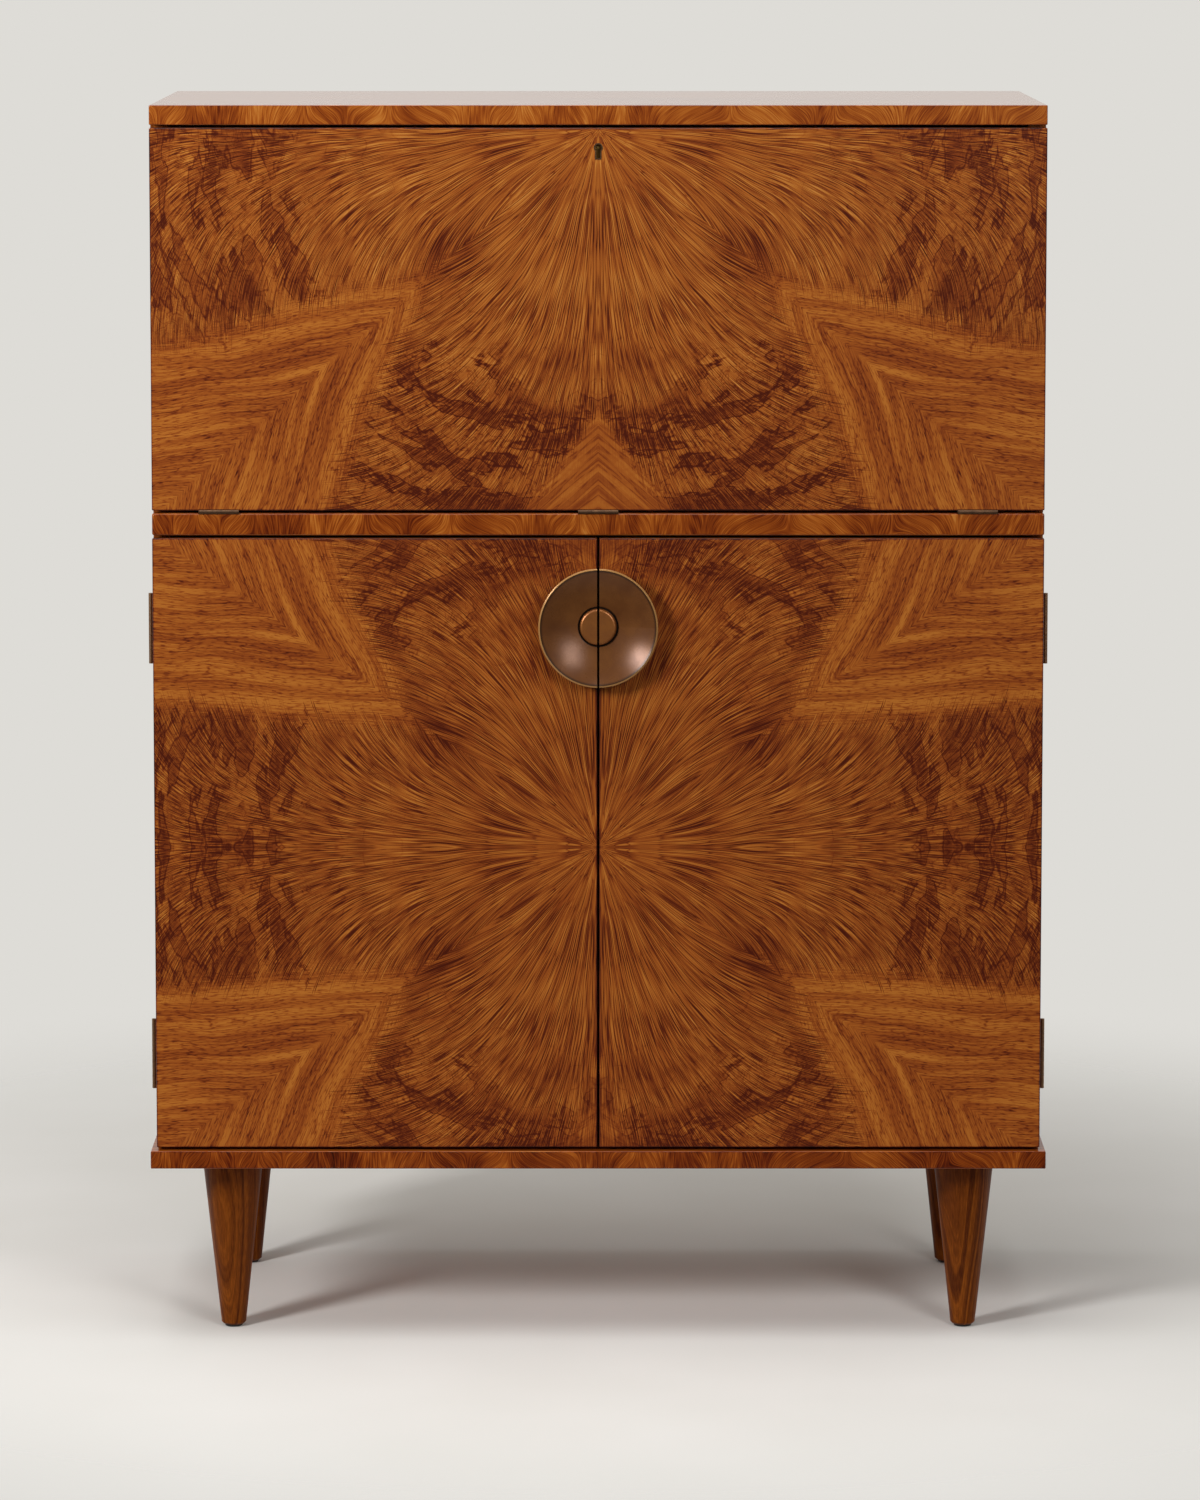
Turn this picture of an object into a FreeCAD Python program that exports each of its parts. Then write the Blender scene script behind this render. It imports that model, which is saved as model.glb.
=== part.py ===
# Bar cabinet with a fold out shelf, on turned legs. Millimetres, +Z up, the front faces -Y.
# The origin lies on the floor, under the middle of the cabinet's outer box.
import FreeCAD
import Part
import math
import os
import re

import Sketcher
from FreeCAD import Placement, Rotation, Vector

doc = FreeCAD.newDocument("bar_cabinet")

# Driving dimensions: one cell each, with what it measures.
sizes = [
    ("case_width", 1000, "over the two sides; the flap, rail and top are as wide"),
    ("case_depth", 450, "from the front of the flap to the back"),
    ("leg_height", 198, "floor to the underside of the base"),
    ("base_thickness", 20, "base board"),
    ("base_overhang", 6.6, "base board past the case, at the front and at each side"),
    ("door_height", 694, "each door"),
    ("rail_height", 25, "front rail, and the middle board behind it"),
    ("flap_height", 428, "flap, closed"),
    ("top_thickness", 22, "top panel"),
    ("side_thickness", 20, "each side"),
    ("front_thickness", 20, "flap and doors"),
    ("front_gap", 3.25, "shadow gap above the flap, above the doors and below them"),
    ("door_gap", 2.5, "between the two doors, and between the pull's halves"),
    ("edge_round", 1.2, "softened edge of a veneered panel"),
    ("rail_round", 2.4, "softened edge of the rail"),
    ("dado_depth", 6, "groove in each side that holds the middle board"),
    ("dowel_diameter", 8, "dowel in the joints of the case"),
    ("dowel_in_edge", 20, "dowel's length in the edge of a side or of the middle board"),
    ("dowel_in_face", 12, "dowel's length in the top, the base or the rail"),
    ("dowel_bevel", 0.8, "bevelled end of a dowel"),
    ("dowel_margin", 45, "end dowels of a joint from the front and the back of the side"),
    ("back_thickness", 6, "back panel"),
    ("back_rebate", 10, "width of the rebate in each side for the back panel"),
    ("back_clearance", 0.3, "back panel to the wall of its rebate"),
    ("shelf_clearance", 1, "shelf to the sides and to the back panel"),
    ("shelf_thickness", 18, "cupboard shelf"),
    ("shelf_height", 346, "cupboard floor to the underside of its shelf"),
    ("shelf_setback", 30, "front of the sides to the front of the cupboard shelf"),
    ("glass_thickness", 8, "glass shelf"),
    ("glass_depth", 190, "glass shelf, back to front"),
    ("glass_height", 232, "bar deck to the underside of the glass shelf"),
    ("pin_diameter", 5, "shelf pin"),
    ("pin_reach", 10, "shelf pin out of the side"),
    ("pin_depth", 9, "shelf pin into the side"),
    ("pin_margin", 40, "shelf pin in from the front and back of its shelf"),
    ("fit", 0.05, "radial clearance of a pin in its hole"),
    ("leg_top_diameter", 69.5, "turned leg where it meets the base"),
    ("leg_foot_diameter", 28, "turned leg at the foot"),
    ("leg_foot_bevel", 2, "bevel round the foot"),
    ("leg_side_inset", 82, "leg centre in from the side of the case"),
    ("leg_depth_inset", 66, "leg centre in from the front and the back of the case"),
    ("leg_bolt_diameter", 8, "bolt that holds a leg to the base"),
    ("leg_bolt_in_leg", 45, "that bolt's length in the leg"),
    ("leg_bolt_in_base", 15, "that bolt's length in the base"),
    ("glide_diameter", 20, "glide under a leg"),
    ("glide_height", 3, "glide under a leg"),
    ("glide_round", 1, "rounded rim of a glide"),
    ("glide_nail_diameter", 3, "nail of a glide"),
    ("glide_nail_length", 14, "nail of a glide"),
    ("leaf_thickness", 1.5, "hinge leaf"),
    ("leaf_gap", 0.25, "between the two closed leaves of a hinge"),
    ("leaf_width", 18, "hinge leaf, from the pin's axis"),
    ("knuckle_diameter", 5, "hinge knuckle"),
    ("knuckle_gap", 0.3, "between neighbouring knuckles, and round a knuckle in the wood"),
    ("hinge_pin_diameter", 2.6, "hinge pin"),
    ("door_hinge_length", 80, "door hinge"),
    ("door_hinge_inset", 104, "door hinge centre from the end of the door"),
    ("door_hinge_offset", 3.5, "door hinge axis outside the side"),
    ("flap_hinge_length", 45, "flap hinge"),
    ("flap_hinge_inset", 75, "outer flap hinge centre in from the side of the case"),
    ("screw_head_diameter", 5.6, "countersunk screw"),
    ("screw_diameter", 3, "countersunk screw"),
    ("screw_length", 14, "countersunk screw"),
    ("screw_point", 2, "tapered end of a screw"),
    ("screw_slot", 0.7, "width and depth of a screw's slot"),
    ("screw_clearance", 0.1, "round a screw"),
    ("screw_line", 11, "hinge screws from the pin's axis"),
    ("door_screw_pitch", 28, "between the screws of a door hinge"),
    ("flap_screw_pitch", 26, "between the screws of a flap hinge"),
    ("back_screw_margin", 60, "end screws of the back panel from its ends"),
    ("pull_diameter", 136, "rim of the dished pull"),
    ("pull_reach", 22, "rim of the pull in front of the doors"),
    ("pull_drop", 99, "door top to the pull's centre"),
    ("pull_shell", 2.6, "thickness of the dish"),
    ("pull_floor", 4, "lowest point of the dish's bowl in front of the doors"),
    ("pull_rim", 2.6, "width of the rim, seen from the front"),
    ("pull_rim_round", 0.9, "rounding of the rim's edges"),
    ("pull_foot_diameter", 50, "foot of the pull on the doors"),
    ("button_diameter", 41, "button at the pull's centre"),
    ("button_height", 6, "button"),
    ("button_round", 3, "rounded rim of the button"),
    ("button_recess_gap", 2, "button to the wall of the recess that it sits in"),
    ("button_recess_depth", 1.2, "that recess, below the bowl round it"),
    ("pull_screw_diameter", 4, "screw that holds the pull"),
    ("pull_screw_head", 8, "head diameter of that screw"),
    ("pull_screw_head_height", 2.4, "head height of that screw"),
    ("pull_screw_grip", 3, "that screw's length in the foot of the pull"),
    ("pull_screw_pitch", 24, "between the two screws of a half pull"),
    ("pull_screw_line", 11, "those screws from the middle of the cabinet"),
    ("keyhole_drop", 22, "flap top to the centre of the keyhole's eye"),
    ("keyhole_diameter", 7.7, "eye of the keyhole"),
    ("keyhole_slot", 4.8, "width of the keyhole's slot"),
    ("keyhole_tail", 12, "centre of the eye to the end of the slot"),
    ("liner_wall", 1.2, "escutcheon that lines the keyhole"),
    ("liner_proud", 0.4, "escutcheon in front of the flap"),
    ("lock_width", 56, "box of the lock"),
    ("lock_height", 44, "box of the lock"),
    ("lock_setback", 8, "front of the flap to the box of the lock"),
    ("lock_plate_width", 78, "back plate of the lock"),
    ("lock_plate_height", 50, "back plate of the lock"),
    ("lock_plate_thickness", 2, "back plate of the lock"),
    ("lock_screw_line", 33.5, "lock screws from the middle of the lock"),
    ("lock_screw_margin", 8, "lock screws from the top and bottom of the back plate"),
    ("lock_clearance", 0.2, "lock in its mortise"),
    ("lock_eye_depth", 2.5, "depth of the keyhole in the box of the lock"),
    ("key_pin_diameter", 2.8, "pin that guides the key"),
    ("key_pin_length", 6, "pin that guides the key"),
    ("bolt_width", 28, "lock bolt"),
    ("bolt_thickness", 5, "lock bolt"),
    ("bolt_height", 30, "lock bolt"),
    ("bolt_setback", 11.5, "front of the flap to the bolt"),
    ("bolt_throw", 8, "travel of the bolt"),
    ("bolt_clearance", 0.3, "round the bolt"),
    ("bolt_inset", 0.4, "drawn bolt below the flap's top edge"),
    ("strike_width", 50, "strike plate"),
    ("strike_depth", 14, "strike plate"),
    ("strike_thickness", 1.5, "strike plate"),
    ("strike_slot_clearance", 0.8, "strike plate's slot round the bolt"),
    ("strike_screw_margin", 5, "strike screws from the ends of their plate"),
    ("stay_radius", 200, "flap axis to the pivot of a stay, and to its slot pin"),
    ("stay_pivot_depth", 14, "inside of the flap to the pivot of a stay"),
    ("stay_pin_depth", 130, "front of the flap to the slot pin of a stay"),
    ("stay_width", 16, "stay arm"),
    ("stay_thickness", 3, "stay arm"),
    ("stay_inset", 7, "side of the case to the stay arm"),
    ("stay_pin_diameter", 6, "pivot and slot pin of a stay"),
    ("stay_slot_clearance", 0.3, "slot of a stay round its pin"),
    ("stay_side_gap", 0.5, "stay arm to the shoulders beside it"),
    ("stay_head_diameter", 11, "head of a stay pin"),
    ("stay_head_thickness", 2, "head of a stay pin"),
    ("stay_shoulder_diameter", 12, "shoulder of a slot pin"),
    ("stay_pin_in_side", 12, "slot pin's length in the side"),
    ("bracket_width", 32, "foot of the stay bracket"),
    ("bracket_height", 26, "foot of the stay bracket"),
    ("bracket_thickness", 2.5, "foot and ear of the stay bracket"),
    ("bracket_screw_pitch", 16, "between the screws of a stay bracket"),
    ("catch_width", 40, "magnetic catch"),
    ("catch_depth", 15, "magnetic catch"),
    ("catch_height", 12, "magnetic catch"),
    ("catch_round", 1, "rounded edges of a catch"),
    ("catch_inset", 12, "middle of the cabinet to a catch"),
    ("catch_gap", 0.3, "catch to the plate on a closed door"),
    ("catch_screw_margin", 8, "catch screws from the ends of a catch and of its plate"),
    ("catch_bore_diameter", 6.4, "bore for the head of a catch screw"),
    ("catch_bore_depth", 6, "bore for the head of a catch screw"),
    ("catch_plate_thickness", 1.5, "plate on the door"),
    ("catch_plate_height", 14, "plate on the door"),
    ("catch_plate_margin", 2, "plate below the top of the door"),
]

sheet = doc.addObject("Spreadsheet::Sheet", "Sizes")
for row, (alias, millimetres, meaning) in enumerate(sizes, 1):
    sheet.set(f"A{row}", meaning)
    sheet.set(f"B{row}", str(millimetres))
    sheet.setAlias(f"B{row}", alias)
doc.recompute()

# Counts
door_knuckles = 5
flap_knuckles = 3
back_screws_per_side = 5
dowels_per_joint = 4
# Each Z level and depth below is an expression in the sheet's names.
half = "(case_width / 2)"
inner = "(case_width / 2 - side_thickness)"
front = "((pull_reach - case_depth) / 2)"
back = "((pull_reach + case_depth) / 2)"
hinge_gap = "(2 * leaf_thickness + leaf_gap)"
front_back = f"({front} + front_thickness)"
side_front = f"({front_back} + {hinge_gap})"
back_inner = f"({back} - back_thickness)"
base_top = "(leg_height + base_thickness)"
door_bottom = f"({base_top} + front_gap)"
door_top = f"({door_bottom} + door_height)"
rail_bottom = f"({door_top} + front_gap)"
rail_top = f"({rail_bottom} + rail_height)"
flap_bottom = f"({rail_top} + {hinge_gap})"
flap_top = f"({flap_bottom} + flap_height)"
top_bottom = f"({flap_top} + front_gap)"
top_top = f"({top_bottom} + top_thickness)"
flap_axis = f"({rail_top} + {hinge_gap} / 2)"
# The lowered flap's inner face is level with the deck.
deck_top = f"({flap_axis} + front_thickness)"

along_x = Rotation(Vector(0, 1, 0), 90)
along_minus_x = Rotation(Vector(0, 1, 0), -90)
along_y = Rotation(Vector(1, 0, 0), -90)
along_minus_y = Rotation(Vector(1, 0, 0), 90)
along_z = Rotation()
along_minus_z = Rotation(Vector(1, 0, 0), 180)
sides = (("left", -1), ("right", 1))
nodes = []


def sized(text):
    """Points every size name in an expression at its cell of the sheet."""
    return re.sub(r"\b([a-z]\w*)\b(?!\()", r"Sizes.\1", str(text))


def value(text):
    """The number that an expression gives with the sheet as it stands."""
    return float(sheet.evalExpression(sized(text)))


def bind(thing, prop, text):
    thing.setExpression(prop, sized(text))


def bind_place(thing, place, prop="Placement"):
    for axis, text in zip("xyz", place):
        bind(thing, f"{prop}.Base.{axis}", text)


def span(sign, low, high):
    """A span of X on the right of the cabinet, or its mirror image on the left."""
    return (low, high) if sign > 0 else (f"-({high})", f"-({low})")


def node(thing, label):
    """Names a finished sub-part, which is written to a file of that name."""
    thing.Label = label
    nodes.append(thing)
    return thing


def new_body(name):
    return doc.addObject("PartDesign::Body", name)


def block(body, name, x, y, z, cut=False):
    """A box between two expressions on each axis, added to a body or cut from it."""
    kind = "Subtractive" if cut else "Additive"
    box = body.newObject(f"PartDesign::{kind}Box", name)
    for prop, (low, high) in zip(("Length", "Width", "Height"), (x, y, z)):
        bind(box, prop, f"({high}) - ({low})")
    bind_place(box, (x[0], y[0], z[0]))
    return box


def rod(body, name, place, turn, diameter, length, cut=False):
    """A cylinder from a point, along the way that turn takes +Z."""
    kind = "Subtractive" if cut else "Additive"
    cylinder = body.newObject(f"PartDesign::{kind}Cylinder", name)
    cylinder.Placement = Placement(Vector(), turn)
    bind(cylinder, "Radius", f"({diameter}) / 2")
    bind(cylinder, "Height", length)
    bind_place(cylinder, place)
    return cylinder


def soften(body, radius, keep=None):
    """Rounds the edges that keep picks, or all of them."""
    doc.recompute()
    base = body.Tip
    picked = [f"Edge{i}" for i, edge in enumerate(base.Shape.Edges, 1) if keep is None or keep(edge)]
    rounding = body.newObject("PartDesign::Fillet", "Rounding")
    rounding.Base = (base, picked)
    bind(rounding, "Radius", radius)
    return rounding


def new_sketch(body, name, role):
    sketch = body.newObject("Sketcher::SketchObject", name)
    plane = [feature for feature in body.Origin.OriginFeatures if feature.Role == role][0]
    sketch.AttachmentSupport = [(plane, "")]
    sketch.MapMode = "FlatFace"
    return sketch


def hold(sketch, kind, text, *points):
    """Adds a dimension to a sketch and ties it to the sheet."""
    index = sketch.addConstraint(Sketcher.Constraint(kind, *points, value(text)))
    sketch.setExpression(f"Constraints[{index}]", sized(text))


def outline(sketch, points):
    """A closed outline. A point is (across, up), or (across, up, centre, held, turn) where an arc leads
    to the next one: held is the centre's coordinate that is dimensioned, turn is +1 anticlockwise."""
    places = [Vector(value(point[0]), value(point[1]), 0) for point in points]
    first = sketch.GeometryCount
    starts = []
    ends = []
    for i, point in enumerate(points):
        begin = places[i]
        finish = places[(i + 1) % len(points)]
        starts.append(1)
        ends.append(2)
        if len(point) == 2:
            sketch.addGeometry(Part.LineSegment(begin, finish), False)
            continue
        centre = Vector(value(point[2][0]), value(point[2][1]), 0)
        circle = Part.Circle(centre, Vector(0, 0, 1), (begin - centre).Length)
        if point[4] < 0:
            begin, finish = finish, begin
            starts[-1] = 2
            ends[-1] = 1
        arc = Part.ArcOfCircle(circle, circle.parameter(begin), circle.parameter(finish))
        sketch.addGeometry(arc, False)
    for i, point in enumerate(points):
        after = (i + 1) % len(points)
        sketch.addConstraint(Sketcher.Constraint("Coincident", first + i, ends[i], first + after, starts[after]))
        hold(sketch, "DistanceX", point[0], -1, 1, first + i, starts[i])
        hold(sketch, "DistanceY", point[1], -1, 1, first + i, starts[i])
        if len(point) > 2:
            kind = "DistanceX" if point[3] == "across" else "DistanceY"
            centre = point[2][0] if point[3] == "across" else point[2][1]
            hold(sketch, kind, centre, -1, 1, first + i, 3)


def stadium(sketch, start, end, width):
    """A slot's outline with round ends, along the sketch's X axis."""
    radius = f"({width}) / 2"
    low = value(start)
    high = value(end)
    reach = value(radius)
    up = Vector(0, reach, 0)
    quarter = math.pi / 2
    first = sketch.GeometryCount
    sketch.addGeometry(Part.LineSegment(Vector(low, 0, 0) + up, Vector(high, 0, 0) + up), False)
    sketch.addGeometry(Part.LineSegment(Vector(high, 0, 0) - up, Vector(low, 0, 0) - up), False)
    far = Part.Circle(Vector(high, 0, 0), Vector(0, 0, 1), reach)
    near = Part.Circle(Vector(low, 0, 0), Vector(0, 0, 1), reach)
    sketch.addGeometry(Part.ArcOfCircle(far, -quarter, quarter), False)
    sketch.addGeometry(Part.ArcOfCircle(near, quarter, 3 * quarter), False)
    for line, line_end, arc, arc_end in ((0, 2, 2, 2), (1, 1, 2, 1), (0, 1, 3, 1), (1, 2, 3, 2)):
        sketch.addConstraint(
            Sketcher.Constraint("Tangent", first + line, line_end, first + arc, arc_end))
    for arc, place in ((2, end), (3, start)):
        hold(sketch, "DistanceX", place, -1, 1, first + arc, 3)
    sketch.addConstraint(Sketcher.Constraint("PointOnObject", first + 2, 3, -1))
    sketch.addConstraint(Sketcher.Constraint("PointOnObject", first + 3, 3, -1))
    hold(sketch, "Radius", radius, first + 2)


def pad(body, name, sketch, length, reverse=False):
    feature = body.newObject("PartDesign::Pad", name)
    feature.Profile = sketch
    feature.Reversed = reverse
    bind(feature, "Length", length)
    return feature


def pocket(body, name, sketch, length, reverse=False):
    feature = body.newObject("PartDesign::Pocket", name)
    feature.Profile = sketch
    feature.Reversed = reverse
    bind(feature, "Length", length)
    return feature


def turned(body, name, sketch):
    """Revolves a half profile about its sketch's vertical axis."""
    feature = body.newObject("PartDesign::Revolution", name)
    feature.Profile = sketch
    feature.ReferenceAxis = (sketch, ["V_Axis"])
    feature.Angle = 360
    return feature


def group(label, master, places):
    """Copies of one piece, as separate solids of one sub-part. A place is (x, y, z, turn)."""
    copies = []
    for i, (x, y, z, turn) in enumerate(places):
        copy = doc.addObject("App::Link", f"{label}_{i}")
        copy.LinkedObject = master
        copy.LinkPlacement = Placement(Vector(), turn)
        bind_place(copy, (x, y, z), "LinkPlacement")
        copies.append(copy)
    compound = doc.addObject("Part::Compound", label)
    compound.Links = copies
    return node(compound, label)


# Places that several pieces share
def door_hinges(sign):
    """Axis and middle of the two hinges of a door."""
    x = f"{sign} * ({half} + door_hinge_offset)"
    y = f"{front_back} + {hinge_gap} / 2"
    upper = f"{door_top} - door_hinge_inset"
    lower = f"{door_bottom} + door_hinge_inset"
    return [(x, y, upper), (x, y, lower)]


def door_hinge_screws(sign):
    """X and Z of the screws of a door's hinges, which its side and its door share."""
    x = f"{sign} * ({half} + door_hinge_offset - screw_line)"
    return [(x, f"{z} + {step} * door_screw_pitch") for _, _, z in door_hinges(sign) for step in (-1, 0, 1)]


def flap_hinges():
    """X of the middle of each flap hinge."""
    return [f"{step} * ({half} - flap_hinge_inset)" for step in (-1, 0, 1)]


def flap_hinge_screws():
    """X and Y of the screws of the flap hinges, which the rail and the flap share."""
    y = f"{front} + screw_line"
    return [(f"{x} + {step} * flap_screw_pitch / 2", y) for x in flap_hinges() for step in (-1, 1)]


def shelf_pin_places(underside, front_edge, back_edge):
    """Y and Z of the two pins that carry one end of a shelf."""
    z = f"{underside} - pin_diameter / 2"
    return [(f"{front_edge} + pin_margin", z), (f"{back_edge} - pin_margin", z)]


shelf_bottom = f"({base_top} + shelf_height)"
shelf_front = f"({side_front} + shelf_setback)"
shelf_back = f"({back_inner} - shelf_clearance)"
glass_bottom = f"({deck_top} + glass_height)"
glass_front = f"({shelf_back} - glass_depth)"
shelf_pins = shelf_pin_places(shelf_bottom, shelf_front, shelf_back)
glass_pins = shelf_pin_places(glass_bottom, glass_front, shelf_back)

# The pivot on the flap and the pin on the side are equally far from the flap's axis, so that a stay
# turns by exactly half the angle of the flap.
pivot_depth = "(front_thickness + stay_pivot_depth)"
pivot_rise = f"sqrt(stay_radius ^ 2 - {pivot_depth} ^ 2)"
pin_rise = "sqrt(stay_radius ^ 2 - stay_pin_depth ^ 2)"
pivot_y = f"({front} + {pivot_depth})"
pivot_z = f"({flap_axis} + {pivot_rise})"
stay_pin_y = f"({front} + stay_pin_depth)"
stay_pin_z = f"({flap_axis} + {pin_rise})"
# Pivot to slot pin, with the flap closed and with it lowered
closed_reach = f"sqrt((stay_pin_depth - {pivot_depth}) ^ 2 + ({pivot_rise} - {pin_rise}) ^ 2)"
open_reach = f"sqrt((stay_pin_depth + {pivot_rise}) ^ 2 + ({pin_rise} - {pivot_depth}) ^ 2)"
stay_outer = f"({inner} - stay_inset)"
stay_inner = f"({stay_outer} - stay_thickness)"
stay_head = f"({stay_inner} - stay_side_gap)"
bracket_x = f"({stay_outer} + stay_side_gap)"

back_screw_line = f"({inner} + back_rebate / 2)"
lock_screws = [(f"{sign} * lock_screw_line", f"{flap_top} - {drop}")
               for sign in (-1, 1) for drop in ("lock_screw_margin", "(lock_plate_height - lock_screw_margin)")]
pull_z = f"({door_top} - pull_drop)"
pull_screw_steps = [f"{step} * pull_screw_pitch / 2" for step in (-1, 1)]
leg_x = f"({half} - leg_side_inset)"
leg_rows = (("front", f"({front} + leg_depth_inset)"), ("rear", f"({back} - leg_depth_inset)"))
pilot_diameter = "screw_diameter + 2 * screw_clearance"
pilot_depth = "screw_length + screw_clearance"

strike_y = f"({front} + bolt_setback + bolt_thickness / 2)"
strike_screws = [f"{sign} * (strike_width / 2 - strike_screw_margin)" for sign in (-1, 1)]
catch_face = f"({front_back} + catch_plate_thickness + catch_gap)"
catch_screw_y = f"({catch_face} + catch_depth / 2)"
catch_screw_head = f"({rail_bottom} - catch_height + catch_bore_depth)"
catch_plate_high = f"({door_top} - catch_plate_margin)"
catch_plate_screw_z = f"({catch_plate_high} - catch_plate_height / 2)"
side_middle = f"({half} - side_thickness / 2)"
rail_middle = f"({rail_bottom} + rail_height / 2)"
rail_dowels = [f"{step} * {half} / 5" for step in (-3, -1, 1, 3)]


def side_dowels():
    """Y of the dowels between a side and the top or the base."""
    gaps = dowels_per_joint - 1
    reach = f"({back_inner} - {side_front} - 2 * dowel_margin)"
    return [f"{side_front} + dowel_margin + {reach} * {i} / {gaps}" for i in range(dowels_per_joint)]


def catch_screws(sign):
    """X of the two screws of a catch, which the plate on its door shares."""
    return [f"{sign} * (catch_inset + {run})" for run in ("catch_screw_margin", "catch_width - catch_screw_margin")]


def back_screw_heights():
    gaps = back_screws_per_side - 1
    reach = f"({top_bottom} - {base_top} - 2 * back_screw_margin)"
    return [f"{base_top} + back_screw_margin + {reach} * {i} / {gaps}" for i in range(back_screws_per_side)]


def back_screw_places():
    """X and Z of the back panel's screws: a row into each side and three into the middle board."""
    rows = [(f"{sign} * {back_screw_line}", z) for sign in (-1, 1) for z in back_screw_heights()]
    return rows + [(f"{step} * {half} / 2", rail_middle) for step in (-1, 0, 1)]


# Case
def dowel_hole(body, name, place, turn, length):
    rod(body, name, place, turn, "dowel_diameter + 2 * fit", length, cut=True)


def make_top_panel():
    body = new_body("top_panel")
    block(body, "Board", (f"-{half}", half), (front, back), (top_bottom, top_top))
    soften(body, "edge_round")
    block(body, "StrikeRecess",
          ("-strike_width / 2 - lock_clearance", "strike_width / 2 + lock_clearance"),
          (f"{strike_y} - strike_depth / 2 - lock_clearance", f"{strike_y} + strike_depth / 2 + lock_clearance"),
          (top_bottom, f"{top_bottom} + strike_thickness"), cut=True)
    block(body, "BoltMortise",
          ("-bolt_width / 2 - strike_slot_clearance", "bolt_width / 2 + strike_slot_clearance"),
          (f"{strike_y} - bolt_thickness / 2 - strike_slot_clearance",
           f"{strike_y} + bolt_thickness / 2 + strike_slot_clearance"),
          (top_bottom, f"{top_bottom} + bolt_throw"), cut=True)
    for i, x in enumerate(strike_screws):
        rod(body, f"StrikePilot{i}", (x, strike_y, top_bottom), along_z, pilot_diameter, pilot_depth, cut=True)
    for name, sign in sides:
        for i, y in enumerate(side_dowels()):
            dowel_hole(body, f"DowelHole_{name}_{i}", (f"{sign} * {side_middle}", y, top_bottom), along_z,
                       "dowel_in_face")
    node(body, "top_panel")


def make_side(name, sign):
    body = new_body(f"{name}_side")
    block(body, "Board", span(sign, inner, half), (side_front, back), (base_top, top_bottom))
    block(body, "BackRebate", span(sign, inner, f"{inner} + back_rebate"), (back_inner, back),
          (base_top, top_bottom), cut=True)
    block(body, "MiddleBoardDado", span(sign, inner, f"{inner} + dado_depth"), (side_front, back_inner),
          (rail_bottom, rail_top), cut=True)
    inward = along_x if sign > 0 else along_minus_x
    for i, (y, z) in enumerate(shelf_pins + glass_pins):
        rod(body, f"ShelfPinHole{i}", (f"{sign} * {inner}", y, z), inward,
            "pin_diameter + 2 * fit", "pin_depth", cut=True)
    rod(body, "StayPinHole", (f"{sign} * {inner}", stay_pin_y, stay_pin_z), inward,
        "stay_pin_diameter + 2 * fit", "stay_pin_in_side", cut=True)
    for i, (x, z) in enumerate(door_hinge_screws(sign)):
        rod(body, f"HingePilot{i}", (x, side_front, z), along_y, pilot_diameter,
            f"{pilot_depth} - leaf_thickness", cut=True)
    for i, z in enumerate(back_screw_heights()):
        rod(body, f"BackPilot{i}", (f"{sign} * {back_screw_line}", back_inner, z), along_minus_y,
            pilot_diameter, f"{pilot_depth} - back_thickness", cut=True)
    for i, y in enumerate(side_dowels()):
        x = f"{sign} * {side_middle}"
        dowel_hole(body, f"TopDowelHole{i}", (x, y, top_bottom), along_minus_z, "dowel_in_edge")
        dowel_hole(body, f"BaseDowelHole{i}", (x, y, base_top), along_z, "dowel_in_edge")
    node(body, f"{name}_side")


def make_middle_board():
    body = new_body("middle_board")
    block(body, "Board", (f"-{inner} - dado_depth", f"{inner} + dado_depth"), (side_front, back_inner),
          (rail_bottom, rail_top))
    for i, step in enumerate((-1, 0, 1)):
        rod(body, f"BackPilot{i}", (f"{step} * {half} / 2", back_inner, rail_middle), along_minus_y,
            pilot_diameter, f"{pilot_depth} - back_thickness", cut=True)
    for i, x in enumerate(rail_dowels):
        dowel_hole(body, f"DowelHole{i}", (x, side_front, rail_middle), along_y, "dowel_in_edge")
    for name, sign in sides:
        for i, x in enumerate(catch_screws(sign)):
            rod(body, f"CatchPilot_{name}_{i}", (x, catch_screw_y, rail_bottom), along_z, pilot_diameter,
                f"{pilot_depth} - catch_height + catch_bore_depth", cut=True)
    node(body, "middle_board")


def cut_flap_knuckles(body):
    """Round notches along the flap's axis, in which the knuckles of the flap hinges turn."""
    length = "(flap_hinge_length + 2 * knuckle_gap)"
    for i, x in enumerate(flap_hinges()):
        rod(body, f"KnuckleNotch{i}", (f"{x} - {length} / 2", front, flap_axis), along_x,
            "knuckle_diameter + 2 * knuckle_gap", length, cut=True)


def make_front_rail():
    body = new_body("front_rail")
    block(body, "Rail", (f"-{half}", half), (front, side_front), (rail_bottom, rail_top))
    joint_face = value(f"{side_front} - rail_round")
    soften(body, "rail_round", lambda edge: edge.CenterOfMass.y < joint_face)
    cut_flap_knuckles(body)
    for i, (x, y) in enumerate(flap_hinge_screws()):
        rod(body, f"HingePilot{i}", (x, y, rail_top), along_minus_z, pilot_diameter,
            f"{pilot_depth} - leaf_thickness", cut=True)
    for i, x in enumerate(rail_dowels):
        dowel_hole(body, f"DowelHole{i}", (x, side_front, rail_middle), along_minus_y, "dowel_in_face")
    node(body, "front_rail")


def make_bar_deck():
    body = new_body("bar_deck")
    block(body, "Board", (f"-{inner}", inner), (side_front, back_inner), (rail_top, deck_top))
    node(body, "bar_deck")


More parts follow.
